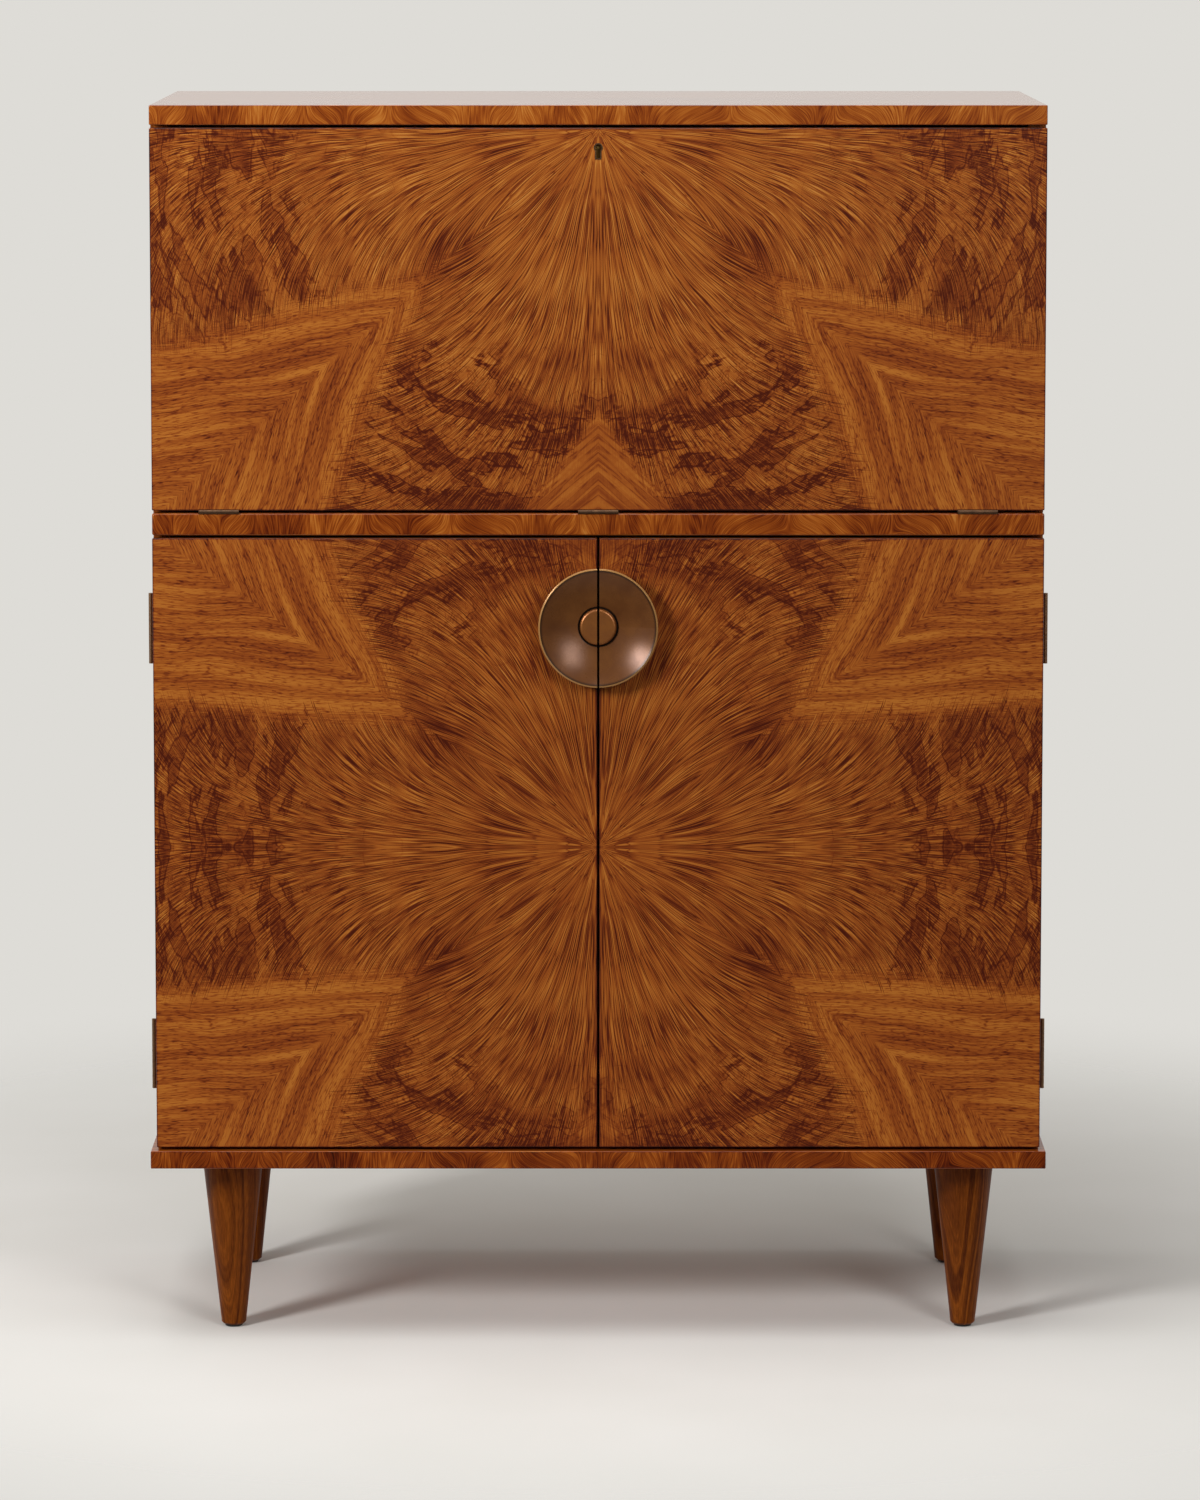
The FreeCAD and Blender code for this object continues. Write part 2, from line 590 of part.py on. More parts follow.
def make_base_board():
    body = new_body("base_board")
    block(body, "Board", (f"-{half} - base_overhang", f"{half} + base_overhang"),
          (f"{front} - base_overhang", back), ("leg_height", base_top))
    soften(body, "edge_round")
    for row, y in leg_rows:
        for name, sign in sides:
            rod(body, f"LegBoltHole_{row}_{name}", (f"{sign} * {leg_x}", y, "leg_height"), along_z,
                "leg_bolt_diameter + 2 * fit", "leg_bolt_in_base", cut=True)
    for name, sign in sides:
        for i, y in enumerate(side_dowels()):
            dowel_hole(body, f"DowelHole_{name}_{i}", (f"{sign} * {side_middle}", y, base_top), along_minus_z,
                       "dowel_in_face")
    node(body, "base_board")


def make_dowels():
    """Dowels with bevelled ends, which pin the sides to the top and base, and the rail to the middle board."""
    body = new_body("dowel")
    sketch = new_sketch(body, "Profile", "XZ_Plane")
    radius = "dowel_diameter / 2"
    outline(sketch, [
        ("0", "-dowel_in_edge"),
        (f"{radius} - dowel_bevel", "-dowel_in_edge"),
        (radius, "dowel_bevel - dowel_in_edge"),
        (radius, "dowel_in_face - dowel_bevel"),
        (f"{radius} - dowel_bevel", "dowel_in_face"),
        ("0", "dowel_in_face"),
    ])
    turned(body, "Turning", sketch)
    places = [(x, side_front, rail_middle, along_minus_y) for x in rail_dowels]
    for _, sign in sides:
        for y in side_dowels():
            x = f"{sign} * {side_middle}"
            places += [(x, y, top_bottom, along_z), (x, y, base_top, along_minus_z)]
    group("case_dowels", body, places)


def countersink(body, name, place, turn):
    """A screw's hole through a plate: its cone for the head from the plate's face, then its shank."""
    cone = body.newObject("PartDesign::SubtractiveCone", f"{name}Head")
    cone.Placement = Placement(Vector(), turn)
    bind(cone, "Radius1", "screw_head_diameter / 2 + screw_clearance")
    bind(cone, "Radius2", "screw_diameter / 2 + screw_clearance")
    bind(cone, "Height", "leaf_thickness")
    bind_place(cone, place)
    rod(body, f"{name}Shank", place, turn, pilot_diameter, "screw_length", cut=True)


def make_back_panel():
    body = new_body("back_panel")
    edge = f"({inner} + back_rebate - back_clearance)"
    block(body, "Panel", (f"-{edge}", edge), (back_inner, back), (base_top, top_bottom))
    for i, (x, z) in enumerate(back_screw_places()):
        countersink(body, f"Screw{i}", (x, back, z), along_minus_y)
    node(body, "back_panel")


def make_leg(label, x, y):
    """A straight tapered turning, bored for its bolt and for the nail of its glide."""
    body = new_body(label)
    sketch = new_sketch(body, "Profile", "XZ_Plane")
    foot = "leg_foot_diameter / 2"
    outline(sketch, [
        ("0", "glide_height"),
        (f"{foot} - leg_foot_bevel", "glide_height"),
        (foot, "glide_height + leg_foot_bevel"),
        ("leg_top_diameter / 2", "leg_height"),
        ("0", "leg_height"),
    ])
    turned(body, "Turning", sketch)
    rod(body, "BoltHole", ("0", "0", "leg_height"), along_minus_z, "leg_bolt_diameter + 2 * fit",
        "leg_bolt_in_leg", cut=True)
    rod(body, "NailHole", ("0", "0", "glide_height"), along_z, "glide_nail_diameter + 2 * fit",
        "glide_nail_length", cut=True)
    bind_place(body, (x, y, "0"))
    node(body, label)


def make_legs():
    centres = []
    for row, y in leg_rows:
        for name, sign in sides:
            x = f"{sign} * {leg_x}"
            make_leg(f"leg_{row}_{name}", x, y)
            centres.append((x, y))
    bolt = new_body("leg_bolt")
    rod(bolt, "Bolt", ("0", "0", "leg_height - leg_bolt_in_leg"), along_z, "leg_bolt_diameter",
        "leg_bolt_in_leg + leg_bolt_in_base")
    group("leg_bolts", bolt, [(x, y, "0", along_z) for x, y in centres])
    glide = new_body("leg_glide")
    rod(glide, "Disc", ("0", "0", "0"), along_z, "glide_diameter", "glide_height")
    soften(glide, "glide_round", lambda edge: edge.CenterOfMass.z < value("glide_round"))
    rod(glide, "Nail", ("0", "0", "0"), along_z, "glide_nail_diameter", "glide_height + glide_nail_length")
    group("leg_glides", glide, [(x, y, "0", along_z) for x, y in centres])


def make_shelves():
    edge = f"({inner} - shelf_clearance)"
    board = new_body("cupboard_shelf")
    block(board, "Board", (f"-{edge}", edge), (shelf_front, shelf_back),
          (shelf_bottom, f"{shelf_bottom} + shelf_thickness"))
    soften(board, "edge_round")
    node(board, "cupboard_shelf")
    glass = new_body("glass_shelf")
    block(glass, "Pane", (f"-{edge}", edge), (glass_front, shelf_back),
          (glass_bottom, f"{glass_bottom} + glass_thickness"))
    soften(glass, "edge_round")
    node(glass, "glass_shelf")
    pin = new_body("shelf_pin")
    rod(pin, "Pin", (f"{inner} - pin_reach", "0", "0"), along_x, "pin_diameter", "pin_reach + pin_depth")
    turns = (along_z, Rotation(Vector(0, 0, 1), 180))
    group("cupboard_shelf_pins", pin, [("0", y, z, turn) for turn in turns for y, z in shelf_pins])
    group("glass_shelf_pins", pin, [("0", y, z, turn) for turn in turns for y, z in glass_pins])


def make_lock_strike():
    body = new_body("lock_strike")
    levels = (top_bottom, f"{top_bottom} + strike_thickness")
    block(body, "Plate", ("-strike_width / 2", "strike_width / 2"),
          (f"{strike_y} - strike_depth / 2", f"{strike_y} + strike_depth / 2"), levels)
    block(body, "Slot", ("-bolt_width / 2 - strike_slot_clearance", "bolt_width / 2 + strike_slot_clearance"),
          (f"{strike_y} - bolt_thickness / 2 - strike_slot_clearance",
           f"{strike_y} + bolt_thickness / 2 + strike_slot_clearance"), levels, cut=True)
    for i, x in enumerate(strike_screws):
        countersink(body, f"Screw{i}", (x, strike_y, top_bottom), along_z)
    node(body, "lock_strike")


def make_catches():
    catch = new_body("catch")
    low = f"({rail_bottom} - catch_height)"
    block(catch, "Case", ("catch_inset", "catch_inset + catch_width"), (catch_face, f"{catch_face} + catch_depth"),
          (low, rail_bottom))
    soften(catch, "catch_round", lambda edge: edge.CenterOfMass.z < value(rail_bottom) - value("catch_round"))
    for i, x in enumerate(catch_screws(1)):
        rod(catch, f"HeadBore{i}", (x, catch_screw_y, low), along_z, "catch_bore_diameter", "catch_bore_depth",
            cut=True)
        countersink(catch, f"Screw{i}", (x, catch_screw_y, catch_screw_head), along_z)
    shift = "-2 * catch_inset - catch_width"
    group("door_catches", catch, [("0", "0", "0", along_z), (shift, "0", "0", along_z)])
    for name, sign in sides:
        plate = new_body(f"{name}_catch_plate")
        face = f"({front_back} + catch_plate_thickness)"
        block(plate, "Plate", span(sign, "catch_inset", "catch_inset + catch_width"), (front_back, face),
              (f"{catch_plate_high} - catch_plate_height", catch_plate_high))
        for i, x in enumerate(catch_screws(sign)):
            countersink(plate, f"Screw{i}", (x, face, catch_plate_screw_z), along_minus_y)
        node(plate, f"{name}_catch_plate")


# Hinges and screws
def make_screw():
    """A slotted countersunk screw, head up at its own origin."""
    body = new_body("countersunk_screw")
    sketch = new_sketch(body, "Profile", "XZ_Plane")
    shank = "screw_diameter / 2"
    outline(sketch, [
        ("0", "0"),
        ("0", "-screw_length"),
        (shank, "screw_point - screw_length"),
        (shank, "-leaf_thickness"),
        ("screw_head_diameter / 2", "0"),
    ])
    turned(body, "Turning", sketch)
    block(body, "Slot", ("-screw_head_diameter / 2", "screw_head_diameter / 2"),
          ("-screw_slot / 2", "screw_slot / 2"), ("-screw_slot", "0"), cut=True)
    return body


def make_leaf(name, length, knuckles, first, screw_steps):
    """A hinge leaf about its own Z axis: a plate that reaches along +X, on wood at its +Y side, and every
    second knuckle from the first one given. The screws' heads face the other leaf."""
    body = new_body(name)
    near = "leaf_gap / 2"
    plate_y = (near, f"{near} + leaf_thickness")
    clear = "(knuckle_diameter / 2 + knuckle_gap)"
    block(body, "Plate", (clear, "leaf_width"), plate_y, (f"-{length} / 2", f"{length} / 2"))
    for i in range(first, knuckles, 2):
        low = f"({length} * {i} / {knuckles} - {length} / 2 + knuckle_gap / 2)"
        tall = f"({length} / {knuckles} - knuckle_gap)"
        rod(body, f"Knuckle{i}", ("0", "0", low), along_z, "knuckle_diameter", tall)
        block(body, f"Tongue{i}", ("0", clear), plate_y, (low, f"{low} + {tall}"))
    rod(body, "PinBore", ("0", "0", f"-{length} / 2"), along_z, "hinge_pin_diameter + 2 * fit", length, cut=True)
    for i, step in enumerate(screw_steps):
        countersink(body, f"Screw{i}", ("screw_line", near, step), along_y)
    return body


def make_door_hinges(screw):
    steps = [f"{step} * door_screw_pitch" for step in (-1, 0, 1)]
    side_leaf = make_leaf("door_hinge_side_leaf", "door_hinge_length", door_knuckles, 0, steps)
    door_leaf = make_leaf("door_hinge_door_leaf", "door_hinge_length", door_knuckles, 1, steps)
    pin = new_body("door_hinge_pin")
    rod(pin, "Pin", ("0", "0", "-door_hinge_length / 2"), along_z, "hinge_pin_diameter", "door_hinge_length")
    side_turns = {"left": along_z, "right": Rotation(Vector(0, 1, 0), 180)}
    door_turns = {"left": Rotation(Vector(1, 0, 0), 180), "right": Rotation(Vector(0, 0, 1), 180)}
    pins = []
    side_screws = []
    for name, sign in sides:
        group(f"{name}_hinge_side_leaves", side_leaf, [(*place, side_turns[name]) for place in door_hinges(sign)])
        group(f"{name}_hinge_door_leaves", door_leaf, [(*place, door_turns[name]) for place in door_hinges(sign)])
        pins += [(*place, along_z) for place in door_hinges(sign)]
        head = f"{side_front} - leaf_thickness"
        side_screws += [(x, head, z, along_minus_y) for x, z in door_hinge_screws(sign)]
        head = f"{front_back} + leaf_thickness"
        group(f"{name}_hinge_door_screws", screw,
              [(x, head, z, along_y) for x, z in door_hinge_screws(sign)])
    group("door_hinge_pins", pin, pins)
    group("side_hinge_screws", screw, side_screws)


def make_flap_hinges(screw):
    steps = [f"{step} * flap_screw_pitch / 2" for step in (-1, 1)]
    rail_leaf = make_leaf("flap_hinge_rail_leaf", "flap_hinge_length", flap_knuckles, 0, steps)
    flap_leaf = make_leaf("flap_hinge_flap_leaf", "flap_hinge_length", flap_knuckles, 1, steps)
    pin = new_body("flap_hinge_pin")
    rod(pin, "Pin", ("0", "0", "-flap_hinge_length / 2"), along_z, "hinge_pin_diameter", "flap_hinge_length")
    on_rail = Rotation(Vector(0, 1, 0), Vector(0, 0, -1), Vector(-1, 0, 0), "XYZ")
    under_flap = Rotation(Vector(0, 1, 0), Vector(0, 0, 1), Vector(1, 0, 0), "XYZ")
    places = [(x, front, flap_axis) for x in flap_hinges()]
    group("flap_hinge_rail_leaves", rail_leaf, [(*place, on_rail) for place in places])
    group("flap_hinge_flap_leaves", flap_leaf, [(*place, under_flap) for place in places])
    group("flap_hinge_pins", pin, [(*place, along_x) for place in places])
    on_rail_head = f"{rail_top} + leaf_thickness"
    under_flap_head = f"{flap_bottom} - leaf_thickness"
    group("rail_hinge_screws", screw, [(x, y, on_rail_head, along_z) for x, y in flap_hinge_screws()])
    group("flap_hinge_screws", screw, [(x, y, under_flap_head, along_minus_z) for x, y in flap_hinge_screws()])


def make_back_screws(screw):
    group("back_screws", screw, [(x, back, z, along_y) for x, z in back_screw_places()])


def make_strike_and_catch_screws(screw):
    group("strike_screws", screw, [(x, strike_y, top_bottom, along_minus_z) for x in strike_screws])
    group("catch_screws", screw, [(x, catch_screw_y, catch_screw_head, along_minus_z)
                                  for _, sign in sides for x in catch_screws(sign)])
    face = f"{front_back} + catch_plate_thickness"
    for name, sign in sides:
        group(f"{name}_catch_plate_screws", screw,
              [(x, face, catch_plate_screw_z, along_y) for x in catch_screws(sign)])


# Flap and lock
def keyhole(sketch, wall, depth):
    """A keyhole's outline, set off outwards by a wall, in the plane that lies at a depth along Y."""
    radius = f"(keyhole_diameter / 2 + {wall})"
    slot = f"(keyhole_slot / 2 + {wall})"
    shoulder = f"(-sqrt({radius} ^ 2 - {slot} ^ 2))"
    tail = f"(-keyhole_tail - {wall})"
    outline(sketch, [
        (slot, shoulder, ("0", "0"), "up", 1),
        (f"-{slot}", shoulder),
        (f"-{slot}", tail),
        (slot, tail),
    ])
    bind_place(sketch, ("0", f"{flap_top} - keyhole_drop", f"-({depth})"), "AttachmentOffset")


lock_front = f"({front} + lock_setback)"
lock_back = f"({front_back} - lock_plate_thickness)"
bracket_screws = [("bracket_width / 2", f"{pivot_z} + {step} * bracket_screw_pitch / 2") for step in (-1, 1)]
bracket_end = f"({bracket_x} + bracket_thickness)"


def make_flap_panel():
    body = new_body("flap_panel")
    block(body, "Board", (f"-{half}", half), (front, front_back), (flap_bottom, flap_top))
    soften(body, "edge_round")
    cut_flap_knuckles(body)
    block(body, "LockMortise", ("-lock_width / 2 - lock_clearance", "lock_width / 2 + lock_clearance"),
          (lock_front, front_back), (f"{flap_top} - lock_height - lock_clearance", flap_top), cut=True)
    block(body, "PlateRecess",
          ("-lock_plate_width / 2 - lock_clearance", "lock_plate_width / 2 + lock_clearance"),
          (lock_back, front_back), (f"{flap_top} - lock_plate_height - lock_clearance", flap_top), cut=True)
    sketch = new_sketch(body, "KeyholeOutline", "XZ_Plane")
    keyhole(sketch, "(liner_wall + fit)", lock_front)
    pocket(body, "Keyhole", sketch, "lock_setback", reverse=True)
    for i, (x, z) in enumerate(lock_screws):
        rod(body, f"LockPilot{i}", (x, front_back, z), along_minus_y, pilot_diameter, pilot_depth, cut=True)
    for i, (x, y) in enumerate(flap_hinge_screws()):
        rod(body, f"HingePilot{i}", (x, y, flap_bottom), along_z, pilot_diameter,
            f"{pilot_depth} - leaf_thickness", cut=True)
    for name, sign in sides:
        for i, (inset, z) in enumerate(bracket_screws):
            rod(body, f"BracketPilot_{name}_{i}", (f"{sign} * ({bracket_end} - {inset})", front_back, z),
                along_minus_y, pilot_diameter, f"{pilot_depth} - bracket_thickness", cut=True)
    node(body, "flap_panel")


def make_keyhole_escutcheon():
    body = new_body("keyhole_escutcheon")
    sketch = new_sketch(body, "LinerOutline", "XZ_Plane")
    keyhole(sketch, "liner_wall", lock_front)
    pad(body, "Liner", sketch, "lock_setback + liner_proud")
    sketch = new_sketch(body, "KeyholeOutline", "XZ_Plane")
    keyhole(sketch, "0", lock_front)
    pocket(body, "Keyhole", sketch, "lock_setback + liner_proud", reverse=True)
    node(body, "keyhole_escutcheon")


def make_lock_case():
    """A box with a back plate, let into the inside of the flap, with a guide for the bolt and a key pin."""
    body = new_body("lock_case")
    block(body, "Box", ("-lock_width / 2", "lock_width / 2"), (lock_front, lock_back),
          (f"{flap_top} - lock_height", flap_top))
    block(body, "Plate", ("-lock_plate_width / 2", "lock_plate_width / 2"), (lock_back, front_back),
          (f"{flap_top} - lock_plate_height", flap_top))
    bolt_front = f"({front} + bolt_setback)"
    block(body, "BoltGuide", ("-bolt_width / 2 - bolt_clearance", "bolt_width / 2 + bolt_clearance"),
          (f"{bolt_front} - bolt_clearance", f"{bolt_front} + bolt_thickness + bolt_clearance"),
          (f"{flap_top} - bolt_inset - bolt_height - bolt_clearance", flap_top), cut=True)
    sketch = new_sketch(body, "EyeOutline", "XZ_Plane")
    keyhole(sketch, "0", f"{lock_front} + lock_eye_depth")
    pocket(body, "Eye", sketch, "lock_eye_depth", reverse=True)
    rod(body, "KeyPin", ("0", f"{lock_front} + lock_eye_depth", f"{flap_top} - keyhole_drop"), along_minus_y,
        "key_pin_diameter", "key_pin_length")
    for i, (x, z) in enumerate(lock_screws):
        countersink(body, f"Screw{i}", (x, front_back, z), along_minus_y)
    node(body, "lock_case")


def make_lock_bolt():
    body = new_body("lock_bolt")
    bolt_front = f"({front} + bolt_setback)"
    high = f"({flap_top} - bolt_inset)"
    block(body, "Bolt", ("-bolt_width / 2", "bolt_width / 2"), (bolt_front, f"{bolt_front} + bolt_thickness"),
          (f"{high} - bolt_height", high))
    node(body, "lock_bolt")


# Stays
def make_stay_brackets():
    """A foot on the inside of the flap, an ear that stands off it and the pivot stud of the stay."""
    brackets = []
    for name, sign in sides:
        body = new_body(f"{name}_stay_bracket")
        block(body, "Foot", span(sign, f"{bracket_end} - bracket_width", bracket_end),
              (front_back, f"{front_back} + bracket_thickness"),
              (f"{pivot_z} - bracket_height / 2", f"{pivot_z} + bracket_height / 2"))
        block(body, "Ear", span(sign, bracket_x, bracket_end), (front_back, pivot_y),
              (f"{pivot_z} - stay_width / 2", f"{pivot_z} + stay_width / 2"))
        inward = along_minus_x if sign > 0 else along_x
        rod(body, "EarEnd", (f"{sign} * {bracket_end}", pivot_y, pivot_z), inward, "stay_width", "bracket_thickness")
        rod(body, "Stud", (f"{sign} * {bracket_end}", pivot_y, pivot_z), inward, "stay_pin_diameter",
            f"{bracket_end} - {stay_head}")
        rod(body, "Head", (f"{sign} * {stay_head}", pivot_y, pivot_z), inward, "stay_head_diameter",
            "stay_head_thickness")
        for i, (inset, z) in enumerate(bracket_screws):
            countersink(body, f"Screw{i}", (f"{sign} * ({bracket_end} - {inset})",
                                            f"{front_back} + bracket_thickness", z), along_minus_y)
        brackets.append(body)
    compound = doc.addObject("Part::Compound", "stay_brackets")
    compound.Links = brackets
    node(compound, "stay_brackets")


def make_bracket_screws(screw):
    head = f"{front_back} + bracket_thickness"
    group("stay_bracket_screws", screw,
          [(f"{sign} * ({bracket_end} - {inset})", head, z, along_y)
           for _, sign in sides for inset, z in bracket_screws])


def make_stay_pins():
    """The slot pins, screwed into the sides: a shoulder, the pin and a head that keeps the arm on."""
    pins = []
    for name, sign in sides:
        body = new_body(f"{name}_stay_pin")
        inward = along_minus_x if sign > 0 else along_x
        place = (stay_pin_y, stay_pin_z)
        rod(body, "Shank", (f"{sign} * ({inner} + stay_pin_in_side)", *place), inward, "stay_pin_diameter",
            f"{inner} + stay_pin_in_side - {stay_head}")
        rod(body, "Shoulder", (f"{sign} * {inner}", *place), inward, "stay_shoulder_diameter",
            f"{inner} - {bracket_x}")
        rod(body, "Head", (f"{sign} * {stay_head}", *place), inward, "stay_head_diameter", "stay_head_thickness")
        pins.append(body)
    compound = doc.addObject("Part::Compound", "stay_pins")
    compound.Links = pins
    node(compound, "stay_pins")


def make_stay_arm(name, sign):
    """A flat bar with its pivot hole at the flap's end and a long slot that runs over the slot pin."""
    body = new_body(f"{name}_stay_arm")
    low = span(sign, stay_inner, stay_outer)[0]
    slot_width = "(stay_pin_diameter + 2 * stay_slot_clearance)"
    bar = new_sketch(body, "BarOutline", "YZ_Plane")
    stadium(bar, "0", open_reach, "stay_width")
    bind_place(bar, ("0", "0", low), "AttachmentOffset")
    pad(body, "Bar", bar, "stay_thickness")
    slot = new_sketch(body, "SlotOutline", "YZ_Plane")
    stadium(slot, closed_reach, open_reach, slot_width)
    bind_place(slot, ("0", "0", low), "AttachmentOffset")
    pocket(body, "Slot", slot, "stay_thickness", reverse=True)
    rod(body, "PivotHole", (low, "0", "0"), along_x, "stay_pin_diameter + 2 * fit", "stay_thickness", cut=True)
    body.Placement = Placement(Vector(), Rotation(Vector(1, 0, 0), 0))
    bind_place(body, ("0", pivot_y, pivot_z))
    bind(body, "Placement.Rotation.Angle", f"atan2({pin_rise} - {pivot_rise}; stay_pin_depth - {pivot_depth})")
    node(body, f"{name}_stay_arm")


# Doors and pull
bowl_radius = ("(((pull_diameter / 2 - pull_rim) ^ 2 + (pull_reach - pull_floor) ^ 2)"
               " / (2 * (pull_reach - pull_floor)))")
shell_radius = f"({bowl_radius} + pull_shell)"
bowl_centre = f"(pull_floor + {bowl_radius})"
# The button sits in a round recess of the bowl, with a narrow shadow gap round it.
recess = "(button_diameter / 2 + button_recess_gap)"
recess_edge = f"({bowl_centre} - sqrt({bowl_radius} ^ 2 - {recess} ^ 2))"
seat = f"({recess_edge} - button_recess_depth)"


def make_door_panel(name, sign):
    body = new_body(f"{name}_door_panel")
    block(body, "Board", span(sign, "door_gap / 2", half), (front, front_back), (door_bottom, door_top))
    soften(body, "edge_round")
    for i, (x, z) in enumerate(door_hinge_screws(sign)):
        rod(body, f"HingePilot{i}", (x, front_back, z), along_minus_y, pilot_diameter,
            f"{pilot_depth} - leaf_thickness", cut=True)
    for i, step in enumerate(pull_screw_steps):
        rod(body, f"PullHole{i}", (f"{sign} * pull_screw_line", front_back, f"{pull_z} + {step}"), along_minus_y,
            "pull_screw_diameter + 2 * screw_clearance", "front_thickness", cut=True)
    for i, x in enumerate(catch_screws(sign)):
        rod(body, f"CatchPilot{i}", (x, front_back, catch_plate_screw_z), along_minus_y, pilot_diameter,
            f"{pilot_depth} - catch_plate_thickness", cut=True)
    node(body, f"{name}_door_panel")


def halve(body, sign):
    """Leaves one half of a round piece, short of the middle by half the gap between the doors."""
    far = "pull_diameter"
    block(body, "OtherHalf", span(sign, f"-{far}", "door_gap / 2"), (f"-{far}", far), (f"-{far}", far), cut=True)


def make_pull(name, sign):
    """Half of a spun dish: a foot on the door, a bowl that opens to the front and a rim to hook fingers behind."""
    body = new_body(f"{name}_pull")
    sketch = new_sketch(body, "Profile", "XY_Plane")
    foot = "(pull_foot_diameter / 2)"
    rim = "(pull_diameter / 2)"
    lip = f"({rim} - pull_rim)"
    centre = ("0", f"-{bowl_centre}")
    foot_top = f"({bowl_centre} - sqrt({shell_radius} ^ 2 - {foot} ^ 2))"
    rim_back = f"({bowl_centre} - sqrt({shell_radius} ^ 2 - {rim} ^ 2))"
    outline(sketch, [
        ("0", "0"),
        ("0", f"-{seat}"),
        (recess, f"-{seat}"),
        (recess, f"-{recess_edge}", centre, "across", -1),
        (lip, "-pull_reach"),
        (rim, f"-{rim_back}", centre, "across", 1),
        (foot, f"-{foot_top}"),
        (foot, "0"),
    ])
    turned(body, "Dish", sketch)
    rim_start = value(f"-{rim_back} + pull_rim_round")
    soften(body, "pull_rim_round", lambda edge: edge.BoundBox.YMax < rim_start)
    halve(body, sign)
    for i, step in enumerate(pull_screw_steps):
        rod(body, f"ScrewHole{i}", (f"{sign} * pull_screw_line", "0", step), along_minus_y,
            "pull_screw_diameter + 2 * fit", "pull_screw_grip + screw_clearance", cut=True)
    bind_place(body, ("0", front, pull_z))
    node(body, f"{name}_pull")


def make_pull_button(name, sign):
    body = new_body(f"{name}_pull_button")
    rod(body, "Disc", ("0", f"-{seat}", "0"), along_minus_y, "button_diameter", "button_height")
    face = value(f"button_round - {seat} - button_height")
    soften(body, "button_round", lambda edge: edge.BoundBox.YMax < face)
    halve(body, sign)
    bind_place(body, ("0", front, pull_z))
    node(body, f"{name}_pull_button")


def make_pull_screws():
    body = new_body("pull_screw")
    rod(body, "Head", ("0", "0", "0"), along_y, "pull_screw_head", "pull_screw_head_height")
    rod(body, "Shank", ("0", "0", "0"), along_minus_y, "pull_screw_diameter", "front_thickness + pull_screw_grip")
    for name, sign in sides:
        group(f"{name}_pull_screws", body,
              [(f"{sign} * pull_screw_line", front_back, f"{pull_z} + {step}", along_z) for step in pull_screw_steps])


make_top_panel()
for side_name, side_sign in sides:
    make_side(side_name, side_sign)
make_middle_board()
make_front_rail()
make_bar_deck()
make_base_board()
make_dowels()
make_back_panel()
make_legs()
make_shelves()
make_lock_strike()
make_catches()
countersunk_screw = make_screw()
make_door_hinges(countersunk_screw)
make_flap_hinges(countersunk_screw)
make_back_screws(countersunk_screw)
make_strike_and_catch_screws(countersunk_screw)
make_flap_panel()
make_keyhole_escutcheon()
make_lock_case()
make_lock_bolt()
group("lock_screws", countersunk_screw, [(x, front_back, z, along_y) for x, z in lock_screws])
make_stay_brackets()
make_bracket_screws(countersunk_screw)
make_stay_pins()
for side_name, side_sign in sides:
    make_stay_arm(side_name, side_sign)
    make_door_panel(side_name, side_sign)
    make_pull(side_name, side_sign)
    make_pull_button(side_name, side_sign)
make_pull_screws()
doc.recompute()

for thing in doc.Objects:
    if "Invalid" in thing.State or "Error" in thing.State:
        raise RuntimeError(f"{thing.Label} failed: {thing.State}")
for thing in nodes:
    if thing.Shape.isNull() or not thing.Shape.isValid() or not thing.Shape.Solids:
        raise RuntimeError(f"{thing.Label} has no sound solid")

os.makedirs("parts", exist_ok=True)
for thing in nodes:
    thing.Shape.exportStep(f"parts/{thing.Label}.step")
    print(thing.Label, len(thing.Shape.Solids), "solids", round(thing.Shape.Volume), "mm3")
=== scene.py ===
import math
from functools import partial

import bpy
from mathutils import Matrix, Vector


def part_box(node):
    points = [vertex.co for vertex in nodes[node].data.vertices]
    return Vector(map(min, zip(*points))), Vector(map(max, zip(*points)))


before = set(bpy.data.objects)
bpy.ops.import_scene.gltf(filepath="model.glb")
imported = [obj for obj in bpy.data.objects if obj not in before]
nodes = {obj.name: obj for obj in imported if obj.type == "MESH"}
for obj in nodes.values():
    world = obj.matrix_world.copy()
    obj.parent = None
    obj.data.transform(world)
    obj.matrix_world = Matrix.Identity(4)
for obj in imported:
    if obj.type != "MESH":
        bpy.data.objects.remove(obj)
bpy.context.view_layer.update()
scene = bpy.context.scene
mm = 0.001


def linear(hexColour):
    # sRGB hex as painted, to the linear numbers that the shaders take
    parts = [int(hexColour[i:i + 2], 16) / 255 for i in (1, 3, 5)]
    return [p / 12.92 if p <= 0.04045 else ((p + 0.055) / 1.055) ** 2.4 for p in parts] + [1.0]


def add(tree, kind, values=(), stops=(), **settings):
    # one shader node with its settings, its colour stops, its constant values and its links
    node = tree.nodes.new("ShaderNode" + kind)
    for name, setting in settings.items():
        setattr(node, name, setting)
    ends = {0: 0, len(stops) - 1: -1}    # a new ramp already has its two ends
    for i, (place, colour) in enumerate(stops):
        ramp = node.color_ramp.elements
        stop = ramp[ends[i]] if i in ends else ramp.new(place)
        stop.position = place
        stop.color = linear(colour)
    for socket, value in values.items() if isinstance(values, dict) else enumerate(values):
        if isinstance(value, bpy.types.Node):
            value = value.outputs[0]
        if isinstance(value, bpy.types.NodeSocket):
            tree.links.new(value, node.inputs[socket])
        else:
            node.inputs[socket].default_value = value
    return node


def newMaterial(name):
    material = bpy.data.materials.new(name)
    material.use_nodes = True
    material.node_tree.nodes.clear()
    return material, material.node_tree


def dress(material, *names):
    for name in names:
        nodes[name].data.materials.clear()
        nodes[name].data.materials.append(material)


